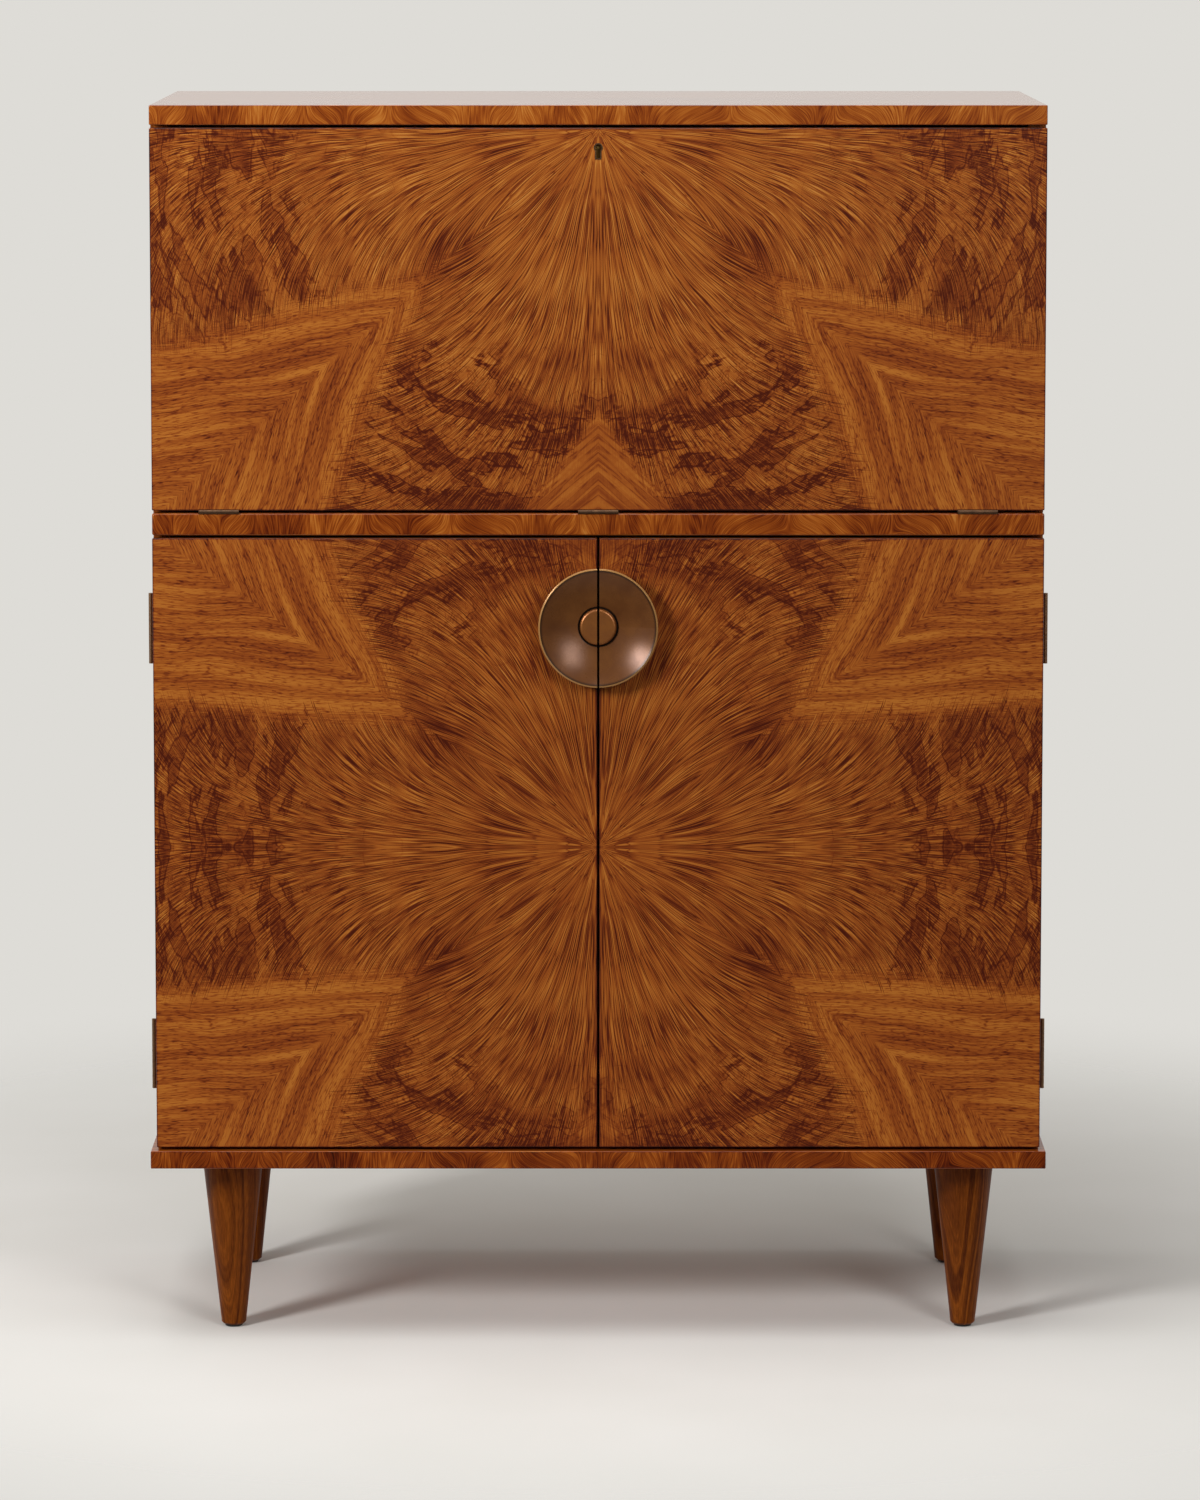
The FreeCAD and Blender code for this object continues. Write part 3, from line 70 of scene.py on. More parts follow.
def inMillimetres(do):
    # patterns are drawn on the piece's own place in mm, so that their sizes are real ones
    return do("VectorMath", {0: do("TexCoord").outputs["Object"], 3: 1 / mm}, operation="SCALE")


def alongAndAcross(do, flat, degrees):
    # the same place, measured along a direction and across it
    turn = math.radians(degrees)
    along = do("VectorMath", [flat, (math.cos(turn), math.sin(turn), 0.0)], operation="DOT_PRODUCT")
    across = do("VectorMath", [flat, (-math.sin(turn), math.cos(turn), 0.0)], operation="DOT_PRODUCT")
    return along.outputs[1], across.outputs[1]


def wavy(do, flat, length, height):
    # nothing in a tree is ruled straight: shifts of a few mm in waves of the given length
    wave = do("TexNoise", {"Vector": flat, "Scale": 1 / length, "Detail": 1.0}, noise_dimensions="2D")
    wave = do("VectorMath", [wave.outputs["Color"], (0.5, 0.5, 0.5)], operation="SUBTRACT")
    wave = do("VectorMath", {0: wave, 3: height}, operation="SCALE")
    return do("VectorMath", [flat, wave], operation="ADD")


def streaks(do, cross, run, width, length, detail, roughness):
    # noise drawn out along the grain
    stretched = do("CombineXYZ", [do("Math", [cross, 1 / width], operation="MULTIPLY"),
                                  do("Math", [run, 1 / length], operation="MULTIPLY")])
    return do("TexNoise", {"Vector": stretched, "Scale": 1.0, "Detail": detail, "Roughness": roughness},
              noise_dimensions="2D")


def thinLine(do, noise, level, width, depth):
    # a thin dark line wherever the noise passes a level
    apart = do("Math", [do("Math", [noise, level], operation="SUBTRACT")], operation="ABSOLUTE")
    return do("MapRange", [apart, 0.0, width, -depth, 0.0])


# Walnut under gloss lacquer: the clear coat gives a sharp sheen over warm, deep brown, without any bump
lacquer = {"Roughness": 0.4, "Specular IOR Level": 0.06, "Coat Weight": 0.6, "Coat Roughness": 0.06}
fullGloss = {**lacquer, "Coat Weight": 1.0, "Coat Roughness": 0.1}    # the top has the most coats
satin = {**lacquer, "Coat Weight": 0.25, "Coat Roughness": 0.16}      # sides and inside are less built up
rubbed = {"Roughness": 0.42, "Specular IOR Level": 0.08}              # legs are oiled and rubbed
walnut = {
    "colours": [(0.0, "#330E07"), (0.2, "#57200E"), (0.42, "#7F3B15"), (0.58, "#99511C"), (0.76, "#B26C29"),
                (1.0, "#CC9046")],
    "edges": [(0.0, "#2E0D03"), (0.25, "#5A1E06"), (0.5, "#853D0E"), (0.7, "#A4591B"), (1.0, "#C27F37")],
    "plain": [(0.0, "#361108"), (0.25, "#5A240C"), (0.5, "#803D11"), (0.75, "#A15F1D"), (1.0, "#BF8136")],
    "turned": [(0.0, "#260B00"), (0.3, "#4A1E02"), (0.55, "#683206"), (0.8, "#86470E"), (1.0, "#A0611D")],
    "plywood": [(0.0, "#6A4426"), (0.5, "#9A6C40"), (1.0, "#BC9160")],
    "grain": {"x": (0.0, -math.pi / 2, 0.0), "z": (0.0, 0.0, 0.0)},    # turns that lay it along an axis
    "ring": 9.0,                    # mm between growth rings on a plain face
    "legRing": 5.0,                 # mm, closer together in the legs
    "growth": (0.62, 0.78, 0.035),  # direction in which ring follows ring, nearly square to the grain
    "drift": (90.0, 0.18, 95.0),    # mm across a drift, its scale along the grain, mm that it moves a ring
    "pore": (1.3, 26.0),            # mm across and along, about twice as wide as real pores so that they show
    "depths": {"ring": 0.75, "pore": 0.42, "drift": 0.35, "base": -0.725},    # in tone; the base centres it
}


def lacquered(do, tone, colours=walnut["colours"], finish=lacquer):
    colour = do("ValToRGB", [tone], stops=colours)
    do("OutputMaterial", [do("BsdfPrincipled", {"Base Color": colour, **finish})])


def plainTone(do, grainAxis, depth=1.0, ringWidth=walnut["ring"]):
    # straight walnut: slightly tilted growth rings round a far pith, pores as fine dashes along the grain
    turned = do("Mapping", {"Vector": inMillimetres(do), "Rotation": walnut["grain"][grainAxis]})
    size, stretch, shift = walnut["drift"]
    drift = do("VectorMath", [turned, (1.0, 1.0, stretch)], operation="MULTIPLY")
    drift = do("TexNoise", {"Vector": drift, "Scale": 1 / size, "Detail": 2.0})
    ring = do("VectorMath", [turned, walnut["growth"]], operation="DOT_PRODUCT").outputs[1]
    ring = do("Math", [drift, shift, ring], operation="MULTIPLY_ADD")
    ring = do("Math", [ring, 1 / ringWidth], operation="MULTIPLY")
    ring = do("TexNoise", {"W": ring, "Scale": 1.0, "Detail": 3.0, "Roughness": 0.6}, noise_dimensions="1D")
    width, length = walnut["pore"]
    pore = do("VectorMath", [turned, (1 / width, 1 / width, 1 / length)], operation="MULTIPLY")
    pore = do("TexNoise", {"Vector": pore, "Scale": 1.0, "Detail": 2.0})
    depths = {name: share * depth for name, share in walnut["depths"].items()}
    tone = do("Math", [ring, depths["ring"], 0.5 + depths["base"]], operation="MULTIPLY_ADD")
    tone = do("Math", [pore, depths["pore"], tone], operation="MULTIPLY_ADD")
    return do("Math", [drift, depths["drift"], tone], operation="MULTIPLY_ADD")


def straightWalnut(name, grainAxis, depth, colours, finish=lacquer, ringWidth=walnut["ring"]):
    material, tree = newMaterial(name)
    do = partial(add, tree)
    lacquered(do, plainTone(do, grainAxis, depth, ringWidth), colours, finish)
    return material


# Crotch walnut, cut where the trunk forks: silky rays from one centre, feathered into pale straight grain.
# Each quarter is a leaf with a slanting seam; its two sides, level and steep, are alike but not the same.
# Below, pairs by side have the level side first, and tones run from the walnut's darkest to its lightest.
# A line has its level and width in the noise, then its depth in tone. Streaks have mm across and along, then
# detail and roughness. Other sets of four are a range and the two values that it turns into.
crotch = {
    "sides": (-1.0, 1.0),      # level and steep side of the seam
    "wave": (100.0, 9.0),      # mm long and high, in the rays
    "calm": (10.0, 160.0),     # mm from the centre over which the waves rise
    "cloud": 70.0,             # mm across a cloud of darker wood
    "darkest": (0.1, 0.1),     # tone that rays and burl stay above, and how softly that holds
    "tip": (105.0, -52.0),     # mm from the shortest to the longest tip of a ray, and what centres them
    "edge": 6.0,               # mm, half the softness where two figures meet
}


def crotchLeaf(do, look):
    # book match: mirrored left and right, above and below the centre, then turned to run along the seam
    axes = do("SeparateXYZ", [inMillimetres(do)])
    across = do("Math", [axes.outputs[0]], operation="ABSOLUTE")
    rise = do("Math", [axes.outputs[2], look["centre"]], operation="SUBTRACT")
    rise = do("Math", [rise], operation="ABSOLUTE")
    flat = do("CombineXYZ", [*alongAndAcross(do, do("CombineXYZ", [across, rise]), look["seam"])])
    length, height = crotch["wave"]
    distance = do("VectorMath", [flat], operation="LENGTH").outputs[1]
    wood = wavy(do, flat, length, do("MapRange", [distance, *crotch["calm"], 0.0, height]))
    bent = do("SeparateXYZ", [wood])
    along = bent.outputs[0]
    away = do("Math", [bent.outputs[1]], operation="ABSOLUTE")
    # across and rise are mm from the mirror lines, along and away mm from the seam
    return {
        "across": across, "rise": rise, "flat": flat, "wood": wood, "along": along, "away": away,
        "side": do("Math", [bent.outputs[1]], operation="SIGN"),
        "turn": do("Math", [away, along], operation="ARCTAN2"),
        "radius": do("VectorMath", [wood], operation="LENGTH").outputs[1],
        "shade": do("TexNoise", {"Vector": flat, "Scale": 1 / crotch["cloud"], "Detail": 2.0},
                    noise_dimensions="2D"),
    }


def fan(do, ray, opening, run, width, length):
    # streaks along the rays, one to two widths across everywhere: they fork where the fan is twice as wide
    level = do("Math", [opening, 1 / width], operation="MULTIPLY")
    level = do("Math", [level, 2.0], operation="LOGARITHM")
    layers = []
    for step in (0.0, 1.0):
        fork = do("Math", [do("Math", [level], operation="FLOOR"), step], operation="ADD")
        cross = do("Math", [do("Math", [2.0, fork], operation="POWER"), ray], operation="MULTIPLY")
        shift = do("Math", [fork, 7.3], operation="MULTIPLY")    # so that no fork repeats the last one
        part = do("Math", [run, 1 / length, shift], operation="MULTIPLY_ADD")
        layers.append(do("TexNoise", {"Vector": do("CombineXYZ", [cross, part]), "Scale": 1.0, "Detail": 1.0},
                         noise_dimensions="2D"))
    blend = do("MapRange", [do("Math", [level], operation="FRACT"), 0.25, 0.75, 0.0, 1.0],
               interpolation_type="SMOOTHSTEP")
    return do("Mix", {0: blend, 2: layers[0], 3: layers[1]})


rays = {
    "reach": 300.0,                     # mm from the centre over which the rays bend
    "bend": (0.68, 0.3),                # how far they lean over to the seam, by side
    "apart": 20.0,                      # keeps the two sides of the seam from repeating each other
    "breaking": 0.0033,                 # needles and slivers are full length 150 mm out, half at 300 mm
    "needle": (1.6, 150.0),             # mm across and along, each in a thin dark line
    "hair": (0.5, 0.055, 0.38),         # that line: level and width in the noise, depth in tone
    "sliver": (0.95, 75.0),             # mm across and along
    "dash": (0.34, 0.5, -0.38, 0.0),    # low slivers are dark
    "glint": (0.54, 0.7, 0.0, 0.2),     # high slivers are bright
    "faint": (30.0, 150.0, 0.5, 1.0),   # mm from the centre over which the dashes come up
    "shimmer": (9.0, 260.0),            # mm across and along a broad silky band
    "tone": 0.395,
    "shimmerDepth": 0.2,
    "cloudDepth": 0.2,
}
growthLines = {
    "apart": 34.0,                      # mm between two lines round the centre
    "waver": 130.0,                     # mm
    "line": (0.5, 0.05, 0.12),
    "from": (170.0, 260.0, 0.0, 1.0),   # mm from the centre where they come up
    "gaps": (0.4, 0.55, 0.0, 1.0),      # dark bands of shimmer break them
}
heartWood = {
    "at": 228.0,                        # mm along the seam
    "stretch": 0.6,                     # longer along the seam than across it
    "tone": (2.0, 42.0, -0.23, 0.0),    # mm from its middle to its end, and the tone there
}


def rayFigure(do, leaf, look):
    # rays leave the level or the upright mirror line and lean over to the seam, more with every mm
    radius = leaf["radius"]
    seam = math.radians(look["seam"])
    widest = do("MapRange", [leaf["side"], *crotch["sides"], seam, math.pi / 2 - seam])
    ray = do("Math", [widest, leaf["turn"]], operation="SUBTRACT")
    lean = do("Math", [radius, 1 / rays["reach"]], operation="MULTIPLY")
    lean = do("Math", [lean, 2.0], operation="POWER")
    bend = do("MapRange", [leaf["side"], *crotch["sides"], *rays["bend"]])
    lean = do("Math", [lean, bend], operation="MULTIPLY")
    lean = do("Math", [lean], operation="EXPONENT")
    ray = do("Math", [ray, lean], operation="DIVIDE")
    ray = do("Math", [leaf["side"], rays["apart"], ray], operation="MULTIPLY_ADD")
    opening = do("Math", [radius, lean], operation="MULTIPLY")
    # near the centre a ray runs on unbroken, further out it breaks into shorter and shorter dashes
    broken = do("Math", [radius, 2.0], operation="POWER")
    broken = do("Math", [broken, rays["breaking"]], operation="MULTIPLY")
    needle = fan(do, ray, opening, broken, *rays["needle"])
    hair = thinLine(do, needle, *rays["hair"])
    sliver = fan(do, ray, opening, broken, *rays["sliver"])
    dash = do("MapRange", [sliver, *rays["dash"]])
    dash = do("Math", [dash, do("MapRange", [radius, *rays["faint"]])], operation="MULTIPLY")
    glint = do("MapRange", [sliver, *rays["glint"]])
    shimmer = fan(do, ray, opening, radius, *rays["shimmer"])
    # thin growth lines round the centre, wavering and broken
    line = do("Math", [leaf["shade"], growthLines["waver"], radius], operation="MULTIPLY_ADD")
    line = do("Math", [line, 1 / growthLines["apart"]], operation="MULTIPLY")
    line = thinLine(do, do("Math", [line], operation="FRACT"), *growthLines["line"])
    line = do("Math", [line, do("MapRange", [radius, *growthLines["from"]])], operation="MULTIPLY")
    line = do("Math", [line, do("MapRange", [shimmer, *growthLines["gaps"]])], operation="MULTIPLY")
    # a smooth dark heart on the seam, just before the pale grain
    stretch = heartWood["stretch"]
    heart = do("VectorMath", [leaf["wood"], (stretch, 1.0, 0.0)], operation="MULTIPLY")
    heart = do("VectorMath", [heart, (stretch * heartWood["at"], 0.0, 0.0)], operation="DISTANCE").outputs[1]
    heart = do("MapRange", [heart, *heartWood["tone"]], interpolation_type="SMOOTHSTEP")
    # painted light: the flap's rays a step lighter and the doors' a step darker, as the light falls off
    # downwards
    tone = do("Math", [shimmer, rays["shimmerDepth"], rays["tone"] + look["paintedLight"]], operation="MULTIPLY_ADD")
    tone = do("Math", [leaf["shade"], rays["cloudDepth"], tone], operation="MULTIPLY_ADD")
    for detail in (hair, dash, glint, line, heart):
        tone = do("Math", [tone, detail], operation="ADD")
    return tone, do("Math", [needle, *crotch["tip"]], operation="MULTIPLY_ADD")


burl = {
    "from": (346.0, 306.0),             # mm from the centre, by side
    "ragged": 160.0,                    # mm by which clouds move that limit
    "rise": (55.0, 110.0, 0.0, 1.0),    # mm past it over which the burl comes up
    "lumps": (5.0, 30.0),               # how many to one radian round the centre, and mm outwards
    "dark": (0.36, 0.56, -0.2, 0.0),    # low lumps are dark
    "vein": (0.48, 0.02, 0.3),          # thin dark line round each lump
    "crackleSize": 13.0,                # mm
    "crackle": (0.5, 0.045, 0.15),
}


def burlFigure(do, leaf, look):
    # dark lumpy figure further out, drawn round the centre
    turns, size = burl["lumps"]
    lumps = do("CombineXYZ", [do("Math", [leaf["turn"], turns], operation="MULTIPLY"),
                              do("Math", [leaf["radius"], 1 / size], operation="MULTIPLY"), leaf["side"]])
    lumps = do("TexNoise", {"Vector": lumps, "Scale": 1.0, "Detail": 3.0, "Roughness": 0.55,
                            "Distortion": 0.3})
    crackle = do("TexNoise", {"Vector": leaf["wood"], "Scale": 1 / burl["crackleSize"], "Detail": 2.0,
                              "Distortion": 0.8}, noise_dimensions="2D")
    dark = do("MapRange", [lumps, *burl["dark"]], interpolation_type="SMOOTHSTEP")
    for line in (thinLine(do, lumps, *burl["vein"]), thinLine(do, crackle, *burl["crackle"])):
        dark = do("Math", [dark, line], operation="ADD")
    past = do("Math", [leaf["shade"], burl["ragged"], leaf["radius"]], operation="MULTIPLY_ADD")
    limit = do("MapRange", [leaf["side"], *crotch["sides"], *burl["from"]])
    past = do("Math", [past, limit], operation="SUBTRACT")
    share = do("MapRange", [past, *burl["rise"]], interpolation_type="SMOOTHSTEP")
    strength = do("MapRange", [leaf["side"], *crotch["sides"], *look["burl"]])
    share = do("Math", [share, strength], operation="MULTIPLY")
    return do("Math", [dark, share], operation="MULTIPLY")


paleGrain = {
    "slant": 32.0,                      # degrees between the grain and the seam
    "wave": (200.0, 34.0),              # mm long and high
    "bands": (15.0, 240.0, 1.0, 0.4),
    "bandDepth": 0.55,
    "lines": (2.0, 80.0, 3.0, 0.65),
    "lineDepth": 0.62,
    "lightest": (0.74, 0.12),           # tone that nothing passes, and how softly that holds
    "threads": (27.0, 170.0, 3.0, 0.6),
    "thread": (0.47, 0.014, 0.22),
    "pores": (1.1, 10.0, 1.0, 0.5),
    "pore": (0.3, 0.45, -0.25, 0.0),
}


def paleFigure(do, leaf, look):
    # pale straight grain at a slant to the seam, in chevrons
    straight = wavy(do, do("CombineXYZ", [leaf["along"], leaf["away"]]), *paleGrain["wave"])
    run, cross = alongAndAcross(do, straight, paleGrain["slant"])
    drawn = partial(streaks, do, cross, run)
    tone = do("Math", [drawn(*paleGrain["bands"]), paleGrain["bandDepth"], look["pale"]],
              operation="MULTIPLY_ADD")
    tone = do("Math", [drawn(*paleGrain["lines"]), paleGrain["lineDepth"], tone], operation="MULTIPLY_ADD")
    tone = do("Math", [tone, *paleGrain["lightest"]], operation="SMOOTH_MIN")
    thread = thinLine(do, drawn(*paleGrain["threads"]), *paleGrain["thread"])
    pore = do("MapRange", [drawn(*paleGrain["pores"]), *paleGrain["pore"]])
    return do("Math", [do("Math", [tone, thread], operation="ADD"), pore], operation="ADD")


gusset = {
    "spread": 0.75,                     # how fast it opens
    "tip": 0.5,                         # share of the rays' tips that reach into it
    "layers": (10.0, 160.0, 3.0, 0.6),
    "layerDepth": 0.7,
    "tone": 0.17,
    "line": (0.5, 0.03, 0.22),          # between two layers
}


def crotchTone(do, look):
    leaf = crotchLeaf(do, look)
    rayTone, tips = rayFigure(do, leaf, look)
    rayTone = do("Math", [rayTone, burlFigure(do, leaf, look)], operation="ADD")
    rayTone = do("Math", [rayTone, *crotch["darkest"]], operation="SMOOTH_MAX")
    # feathered edge: the tips of the rays reach a finger's width into the pale grain
    edge = crotch["edge"]
    apex = do("MapRange", [leaf["side"], *crotch["sides"], *look["apex"]])
    over = do("Math", [apex, leaf["along"]], operation="SUBTRACT")
    over = do("Math", [over, look["spread"], leaf["away"]], operation="MULTIPLY_ADD")
    over = do("Math", [over, tips], operation="ADD")
    pale = do("MapRange", [over, edge, -edge, 0.0, 1.0], interpolation_type="SMOOTHSTEP")
    tone = do("Mix", {0: pale, 2: rayTone, 3: paleFigure(do, leaf, look)})
    # on the upright mirror line, far from the centre, the straight grain comes back in a small gusset
    inside = do("Math", [leaf["rise"], look["corner"]], operation="SUBTRACT")
    inside = do("Math", [inside, -gusset["spread"], leaf["across"]], operation="MULTIPLY_ADD")
    inside = do("Math", [tips, gusset["tip"], inside], operation="MULTIPLY_ADD")
    inside = do("MapRange", [inside, -edge, edge, look["gusset"], 0.0], interpolation_type="SMOOTHSTEP")
    axes = do("SeparateXYZ", [leaf["flat"]])
    layer = streaks(do, axes.outputs[1], axes.outputs[0], *gusset["layers"])
    # painted light: the flap's gusset a step lighter and the doors' a step darker
    cornerTone = do("Math", [layer, gusset["layerDepth"], gusset["tone"] + look["paintedLight"]],
                    operation="MULTIPLY_ADD")
    cornerTone = do("Math", [cornerTone, thinLine(do, layer, *gusset["line"])], operation="ADD")
    return do("Mix", {0: inside, 2: tone, 3: cornerTone})


veneer = {
    "thickness": 0.8,                   # mm behind the front face that the sunburst shows
    "arris": (0.4, 1.8, -0.34, 0.0),    # mm from the edge over which the tone darkens towards the edge, then the tone at each
}


def crotchVeneer(name, look, low, high):
    # sunburst on the front face alone; edges and back are plain walnut
    material, tree = newMaterial(name)
    do = partial(add, tree)
    axes = do("SeparateXYZ", [inMillimetres(do)])
    front = do("Math", [axes.outputs[1], low.y / mm + veneer["thickness"]], operation="LESS_THAN")
    # darkened arrises: the box is the right half's, and the left is its mirror image
    place = do("CombineXYZ", [do("Math", [axes.outputs[0]], operation="ABSOLUTE"), 0.0, axes.outputs[2]])
    fromLow = do("VectorMath", [place, low / mm], operation="SUBTRACT")
    fromHigh = do("VectorMath", [high / mm, place], operation="SUBTRACT")
    inside = do("SeparateXYZ", [do("VectorMath", [fromLow, fromHigh], operation="MINIMUM")])
    arris = do("Math", [inside.outputs[0], inside.outputs[2]], operation="MINIMUM")
    arris = do("MapRange", [arris, *veneer["arris"]])
    tone = do("Math", [crotchTone(do, look), arris], operation="ADD")
    lacquered(do, do("Mix", {0: front, 2: plainTone(do, "z"), 3: tone}))
    return material


flapLow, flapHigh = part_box("flap_panel")
flapLook = {
    "centre": flapHigh.z / mm - 1.0,    # mm, height of the point that the rays leave
    "seam": 41.0,                       # degrees from the level
    "apex": (237.0, 250.0),             # mm along the seam to the tip of the pale grain, by side
    "spread": 0.48,                     # how fast the pale grain opens
    "corner": 318.0,                    # mm from the centre to the gusset
    "gusset": 0.9,                      # how clearly the gusset shows
    "burl": (1.1, 1.55),                # strength of the burl, by side
    "paintedLight": 0.035,                      # rays and gusset, lighter or darker: painted light, the flap lighter than the doors as the light falls off downwards
    "pale": 0.005,                      # pale grain, lighter or darker
}
dress(crotchVeneer("crotchWalnutFlap", flapLook, flapLow, flapHigh), "flap_panel")
doorLow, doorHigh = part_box("right_door_panel")
doorLook = {
    "centre": (doorLow.z + doorHigh.z) / 2 / mm - 3.0,
    "seam": 35.5,
    "apex": (232.0, 272.0),
    "spread": 0.6,
    "corner": 282.0,
    "gusset": 0.5,
    "burl": (1.12, 1.1),
    # painted shade: the doors' rays and gusset darker than the flap's, as the light falls off downwards
    "paintedLight": -0.025,
    "pale": 0.015,
}
dress(crotchVeneer("crotchWalnutDoors", doorLook, doorLow, doorHigh), "left_door_panel", "right_door_panel")

# Cross-banded walnut: short strips side by side, so that the shade and the slant change along a board's edge
banding = {
    "strip": 95.0,                      # mm of edge cut from one strip
    "slant": 11.0,                      # how far the grain of a strip may lean
    "shift": (7.0, 30.0),               # strips start elsewhere on each board, shades elsewhere than slants
    "shade": (1.4, 0.6, -0.44),         # changes to a strip, depth and tone
    "bands": (15.0, 60.0, 2.0, 0.6),
    "bandDepth": 0.55,
    "lines": (1.5, 22.0, 1.0, 0.5),
    "lineDepth": 0.7,
    "arris": (1.6, 0.4, -0.22),         # mm from the edge where the darkening starts and is full, and its tone
}


def bandedWalnut(name, paintedLight, finish, low, high):
    # upright faces carry the strips of cross-grained veneer; flat faces run lengthwise
    material, tree = newMaterial(name)
    do = partial(add, tree)
    upright = do("SeparateXYZ", [do("TexCoord").outputs["Normal"]]).outputs[2]
    upright = do("Math", [do("Math", [upright], operation="ABSOLUTE"), 0.5], operation="LESS_THAN")
    place = inMillimetres(do)
    length = do("VectorMath", [place, (1.0, 1.0, 0.0)], operation="DOT_PRODUCT").outputs[1]
    middle = (low.z + high.z) / 2 / mm
    height = do("Math", [do("SeparateXYZ", [place]).outputs[2], middle], operation="SUBTRACT")
    # each strip has its own slant and shade, and a soft joint to the next
    boardShift, shadeShift = banding["shift"]
    strip = do("Math", [length, 1 / banding["strip"], boardShift * paintedLight], operation="MULTIPLY_ADD")
    slant = do("TexNoise", {"W": strip, "Scale": 1.0, "Detail": 1.0}, noise_dimensions="1D")
    slant = do("Math", [slant, 0.5], operation="SUBTRACT")
    slant = do("Math", [slant, banding["slant"]], operation="MULTIPLY")
    tilted = do("Math", [slant, height, length], operation="MULTIPLY_ADD")
    changes, depth, tone = banding["shade"]
    shade = do("Math", [strip, shadeShift], operation="ADD")
    shade = do("TexNoise", {"W": shade, "Scale": changes, "Detail": 2.0}, noise_dimensions="1D")
    # painted light: the whole board a step lighter or darker by its height in the case
    band = do("Math", [shade, depth, tone + paintedLight], operation="MULTIPLY_ADD")
    drawn = partial(streaks, do, tilted, height)
    band = do("Math", [drawn(*banding["bands"]), banding["bandDepth"], band], operation="MULTIPLY_ADD")
    band = do("Math", [drawn(*banding["lines"]), banding["lineDepth"], band], operation="MULTIPLY_ADD")
    # darker along the upper and lower edges
    half = (high.z - low.z) / 2 / mm
    starts, full, edgeTone = banding["arris"]
    arris = do("Math", [height], operation="ABSOLUTE")
    arris = do("MapRange", [arris, half - starts, half - full, 0.0, edgeTone])
    band = do("Math", [band, arris], operation="ADD")
    tone = do("Mix", {0: upright, 2: plainTone(do, "x"), 3: band})
    lacquered(do, tone, walnut["edges"], finish)
    return material


# painted light: the top a little lighter than the rail, and the base a little darker, as the light falls from
# above
dress(bandedWalnut("crossBandedTop", 0.1, fullGloss, *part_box("top_panel")), "top_panel")
dress(bandedWalnut("crossBandedRail", 0.0, lacquer, *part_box("front_rail")), "front_rail")
dress(bandedWalnut("crossBandedBase", -0.09, lacquer, *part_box("base_board")), "base_board")
# Straight-grained walnut on the case and inside it, the same turned for the legs, pale plywood behind
dress(straightWalnut("straightWalnut", "z", 1.0, walnut["plain"], satin), "left_side", "right_side")
dress(straightWalnut("shelfWalnut", "x", 0.8, walnut["plain"], satin), "middle_board", "bar_deck",
      "cupboard_shelf", "case_dowels")
dress(straightWalnut("turnedWalnut", "z", 1.25, walnut["turned"], rubbed, walnut["legRing"]),
      "leg_front_left", "leg_front_right", "leg_rear_left", "leg_rear_right")
dress(straightWalnut("backPlywood", "z", 0.7, walnut["plywood"]), "back_panel")
print("walnut laid on the case, flap, doors and legs")


def metal(name, dull, bright, grain, roughness, metallic=1.0, rim=None, **finish):
    # colour and polish both vary a little, in spots of the given size in mm; a rim may be rubbed bright, with
    # painted shade under it and round the button
    material, tree = newMaterial(name)
    do = partial(add, tree)
    place = inMillimetres(do)
    spots = do("TexNoise", {"Vector": place, "Scale": 1 / grain, "Detail": 4.0, "Roughness": 0.6})
    colour = do("ValToRGB", [spots], stops=[(0.3, dull), (0.7, bright)])
    polish = do("MapRange", [spots, 0.3, 0.7, roughness[1], roughness[0]])
    if rim:
        flat = do("VectorMath", [place, (1.0, 0.0, 1.0)], operation="MULTIPLY")
        reach = do("VectorMath", [flat, (0.0, 0.0, rim["height"])], operation="DISTANCE").outputs[1]
        worn = do("MapRange", [reach, *rim["rubbed"], 0.0, 1.0])
        # painted shade: dark in the corner under the rim and in the well round the button
        corner = do("MapRange", [reach, *rim["corner"], 0.0, rim["share"]], interpolation_type="SMOOTHSTEP")
        well = do("MapRange", [reach, *rim["well"], 1.0, 0.0])
        paintedShade = do("Math", [corner, well], operation="MAXIMUM")
        colour = do("Mix", {0: paintedShade, 6: colour, 7: linear(rim["paintedShade"])}, data_type="RGBA").outputs[2]
        colour = do("Mix", {0: worn, 6: colour, 7: linear(rim["colour"])}, data_type="RGBA").outputs[2]
        polish = do("Mix", {0: worn, 2: polish, 3: rim["polish"]})
    surface = {"Base Color": colour, "Metallic": metallic, "Roughness": polish, **finish}
    do("OutputMaterial", [do("BsdfPrincipled", surface)])
    return material


# Cast bronze, patinated brown: metal shows through where hands polish it
pullLow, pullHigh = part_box("left_pull")
pullRim = {
    "height": (pullLow.z + pullHigh.z) / 2 / mm,    # mm, the middle of the dish
    "rubbed": (65.0, 65.6),                         # mm from there to the bright rim
    "corner": (61.9, 64.7),                         # mm to the painted shade under it
    "well": (22.6, 23.4),                           # mm to the end of the well round the button, painted dark as shade
    "colour": "#A87A46",
    "polish": 0.24,
    # colour of the painted shade
    "paintedShade": "#20120A",
    "share": 0.75,                                  # of painted shade under the rim
}
patina = {"Specular IOR Level": 0.3}                # the brown skin is duller than bare metal
waxed = {"Coat Weight": 0.2, "Coat Roughness": 0.2}
dress(metal("patinatedBronze", "#5A3317", "#704522", 30.0, (0.25, 0.31), 0.18, pullRim, **patina),
      "left_pull", "right_pull")
dress(metal("rubbedBronze", "#8A5226", "#A3652F", 14.0, (0.32, 0.4), 0.6, **waxed), "left_pull_button",
      "right_pull_button")
# Bronze gone dark, with little shine left
dress(metal("darkBronze", "#4A3526", "#664A33", 8.0, (0.4, 0.5), 0.8), "flap_hinge_rail_leaves",
      "flap_hinge_flap_leaves", "flap_hinge_pins", "keyhole_escutcheon")
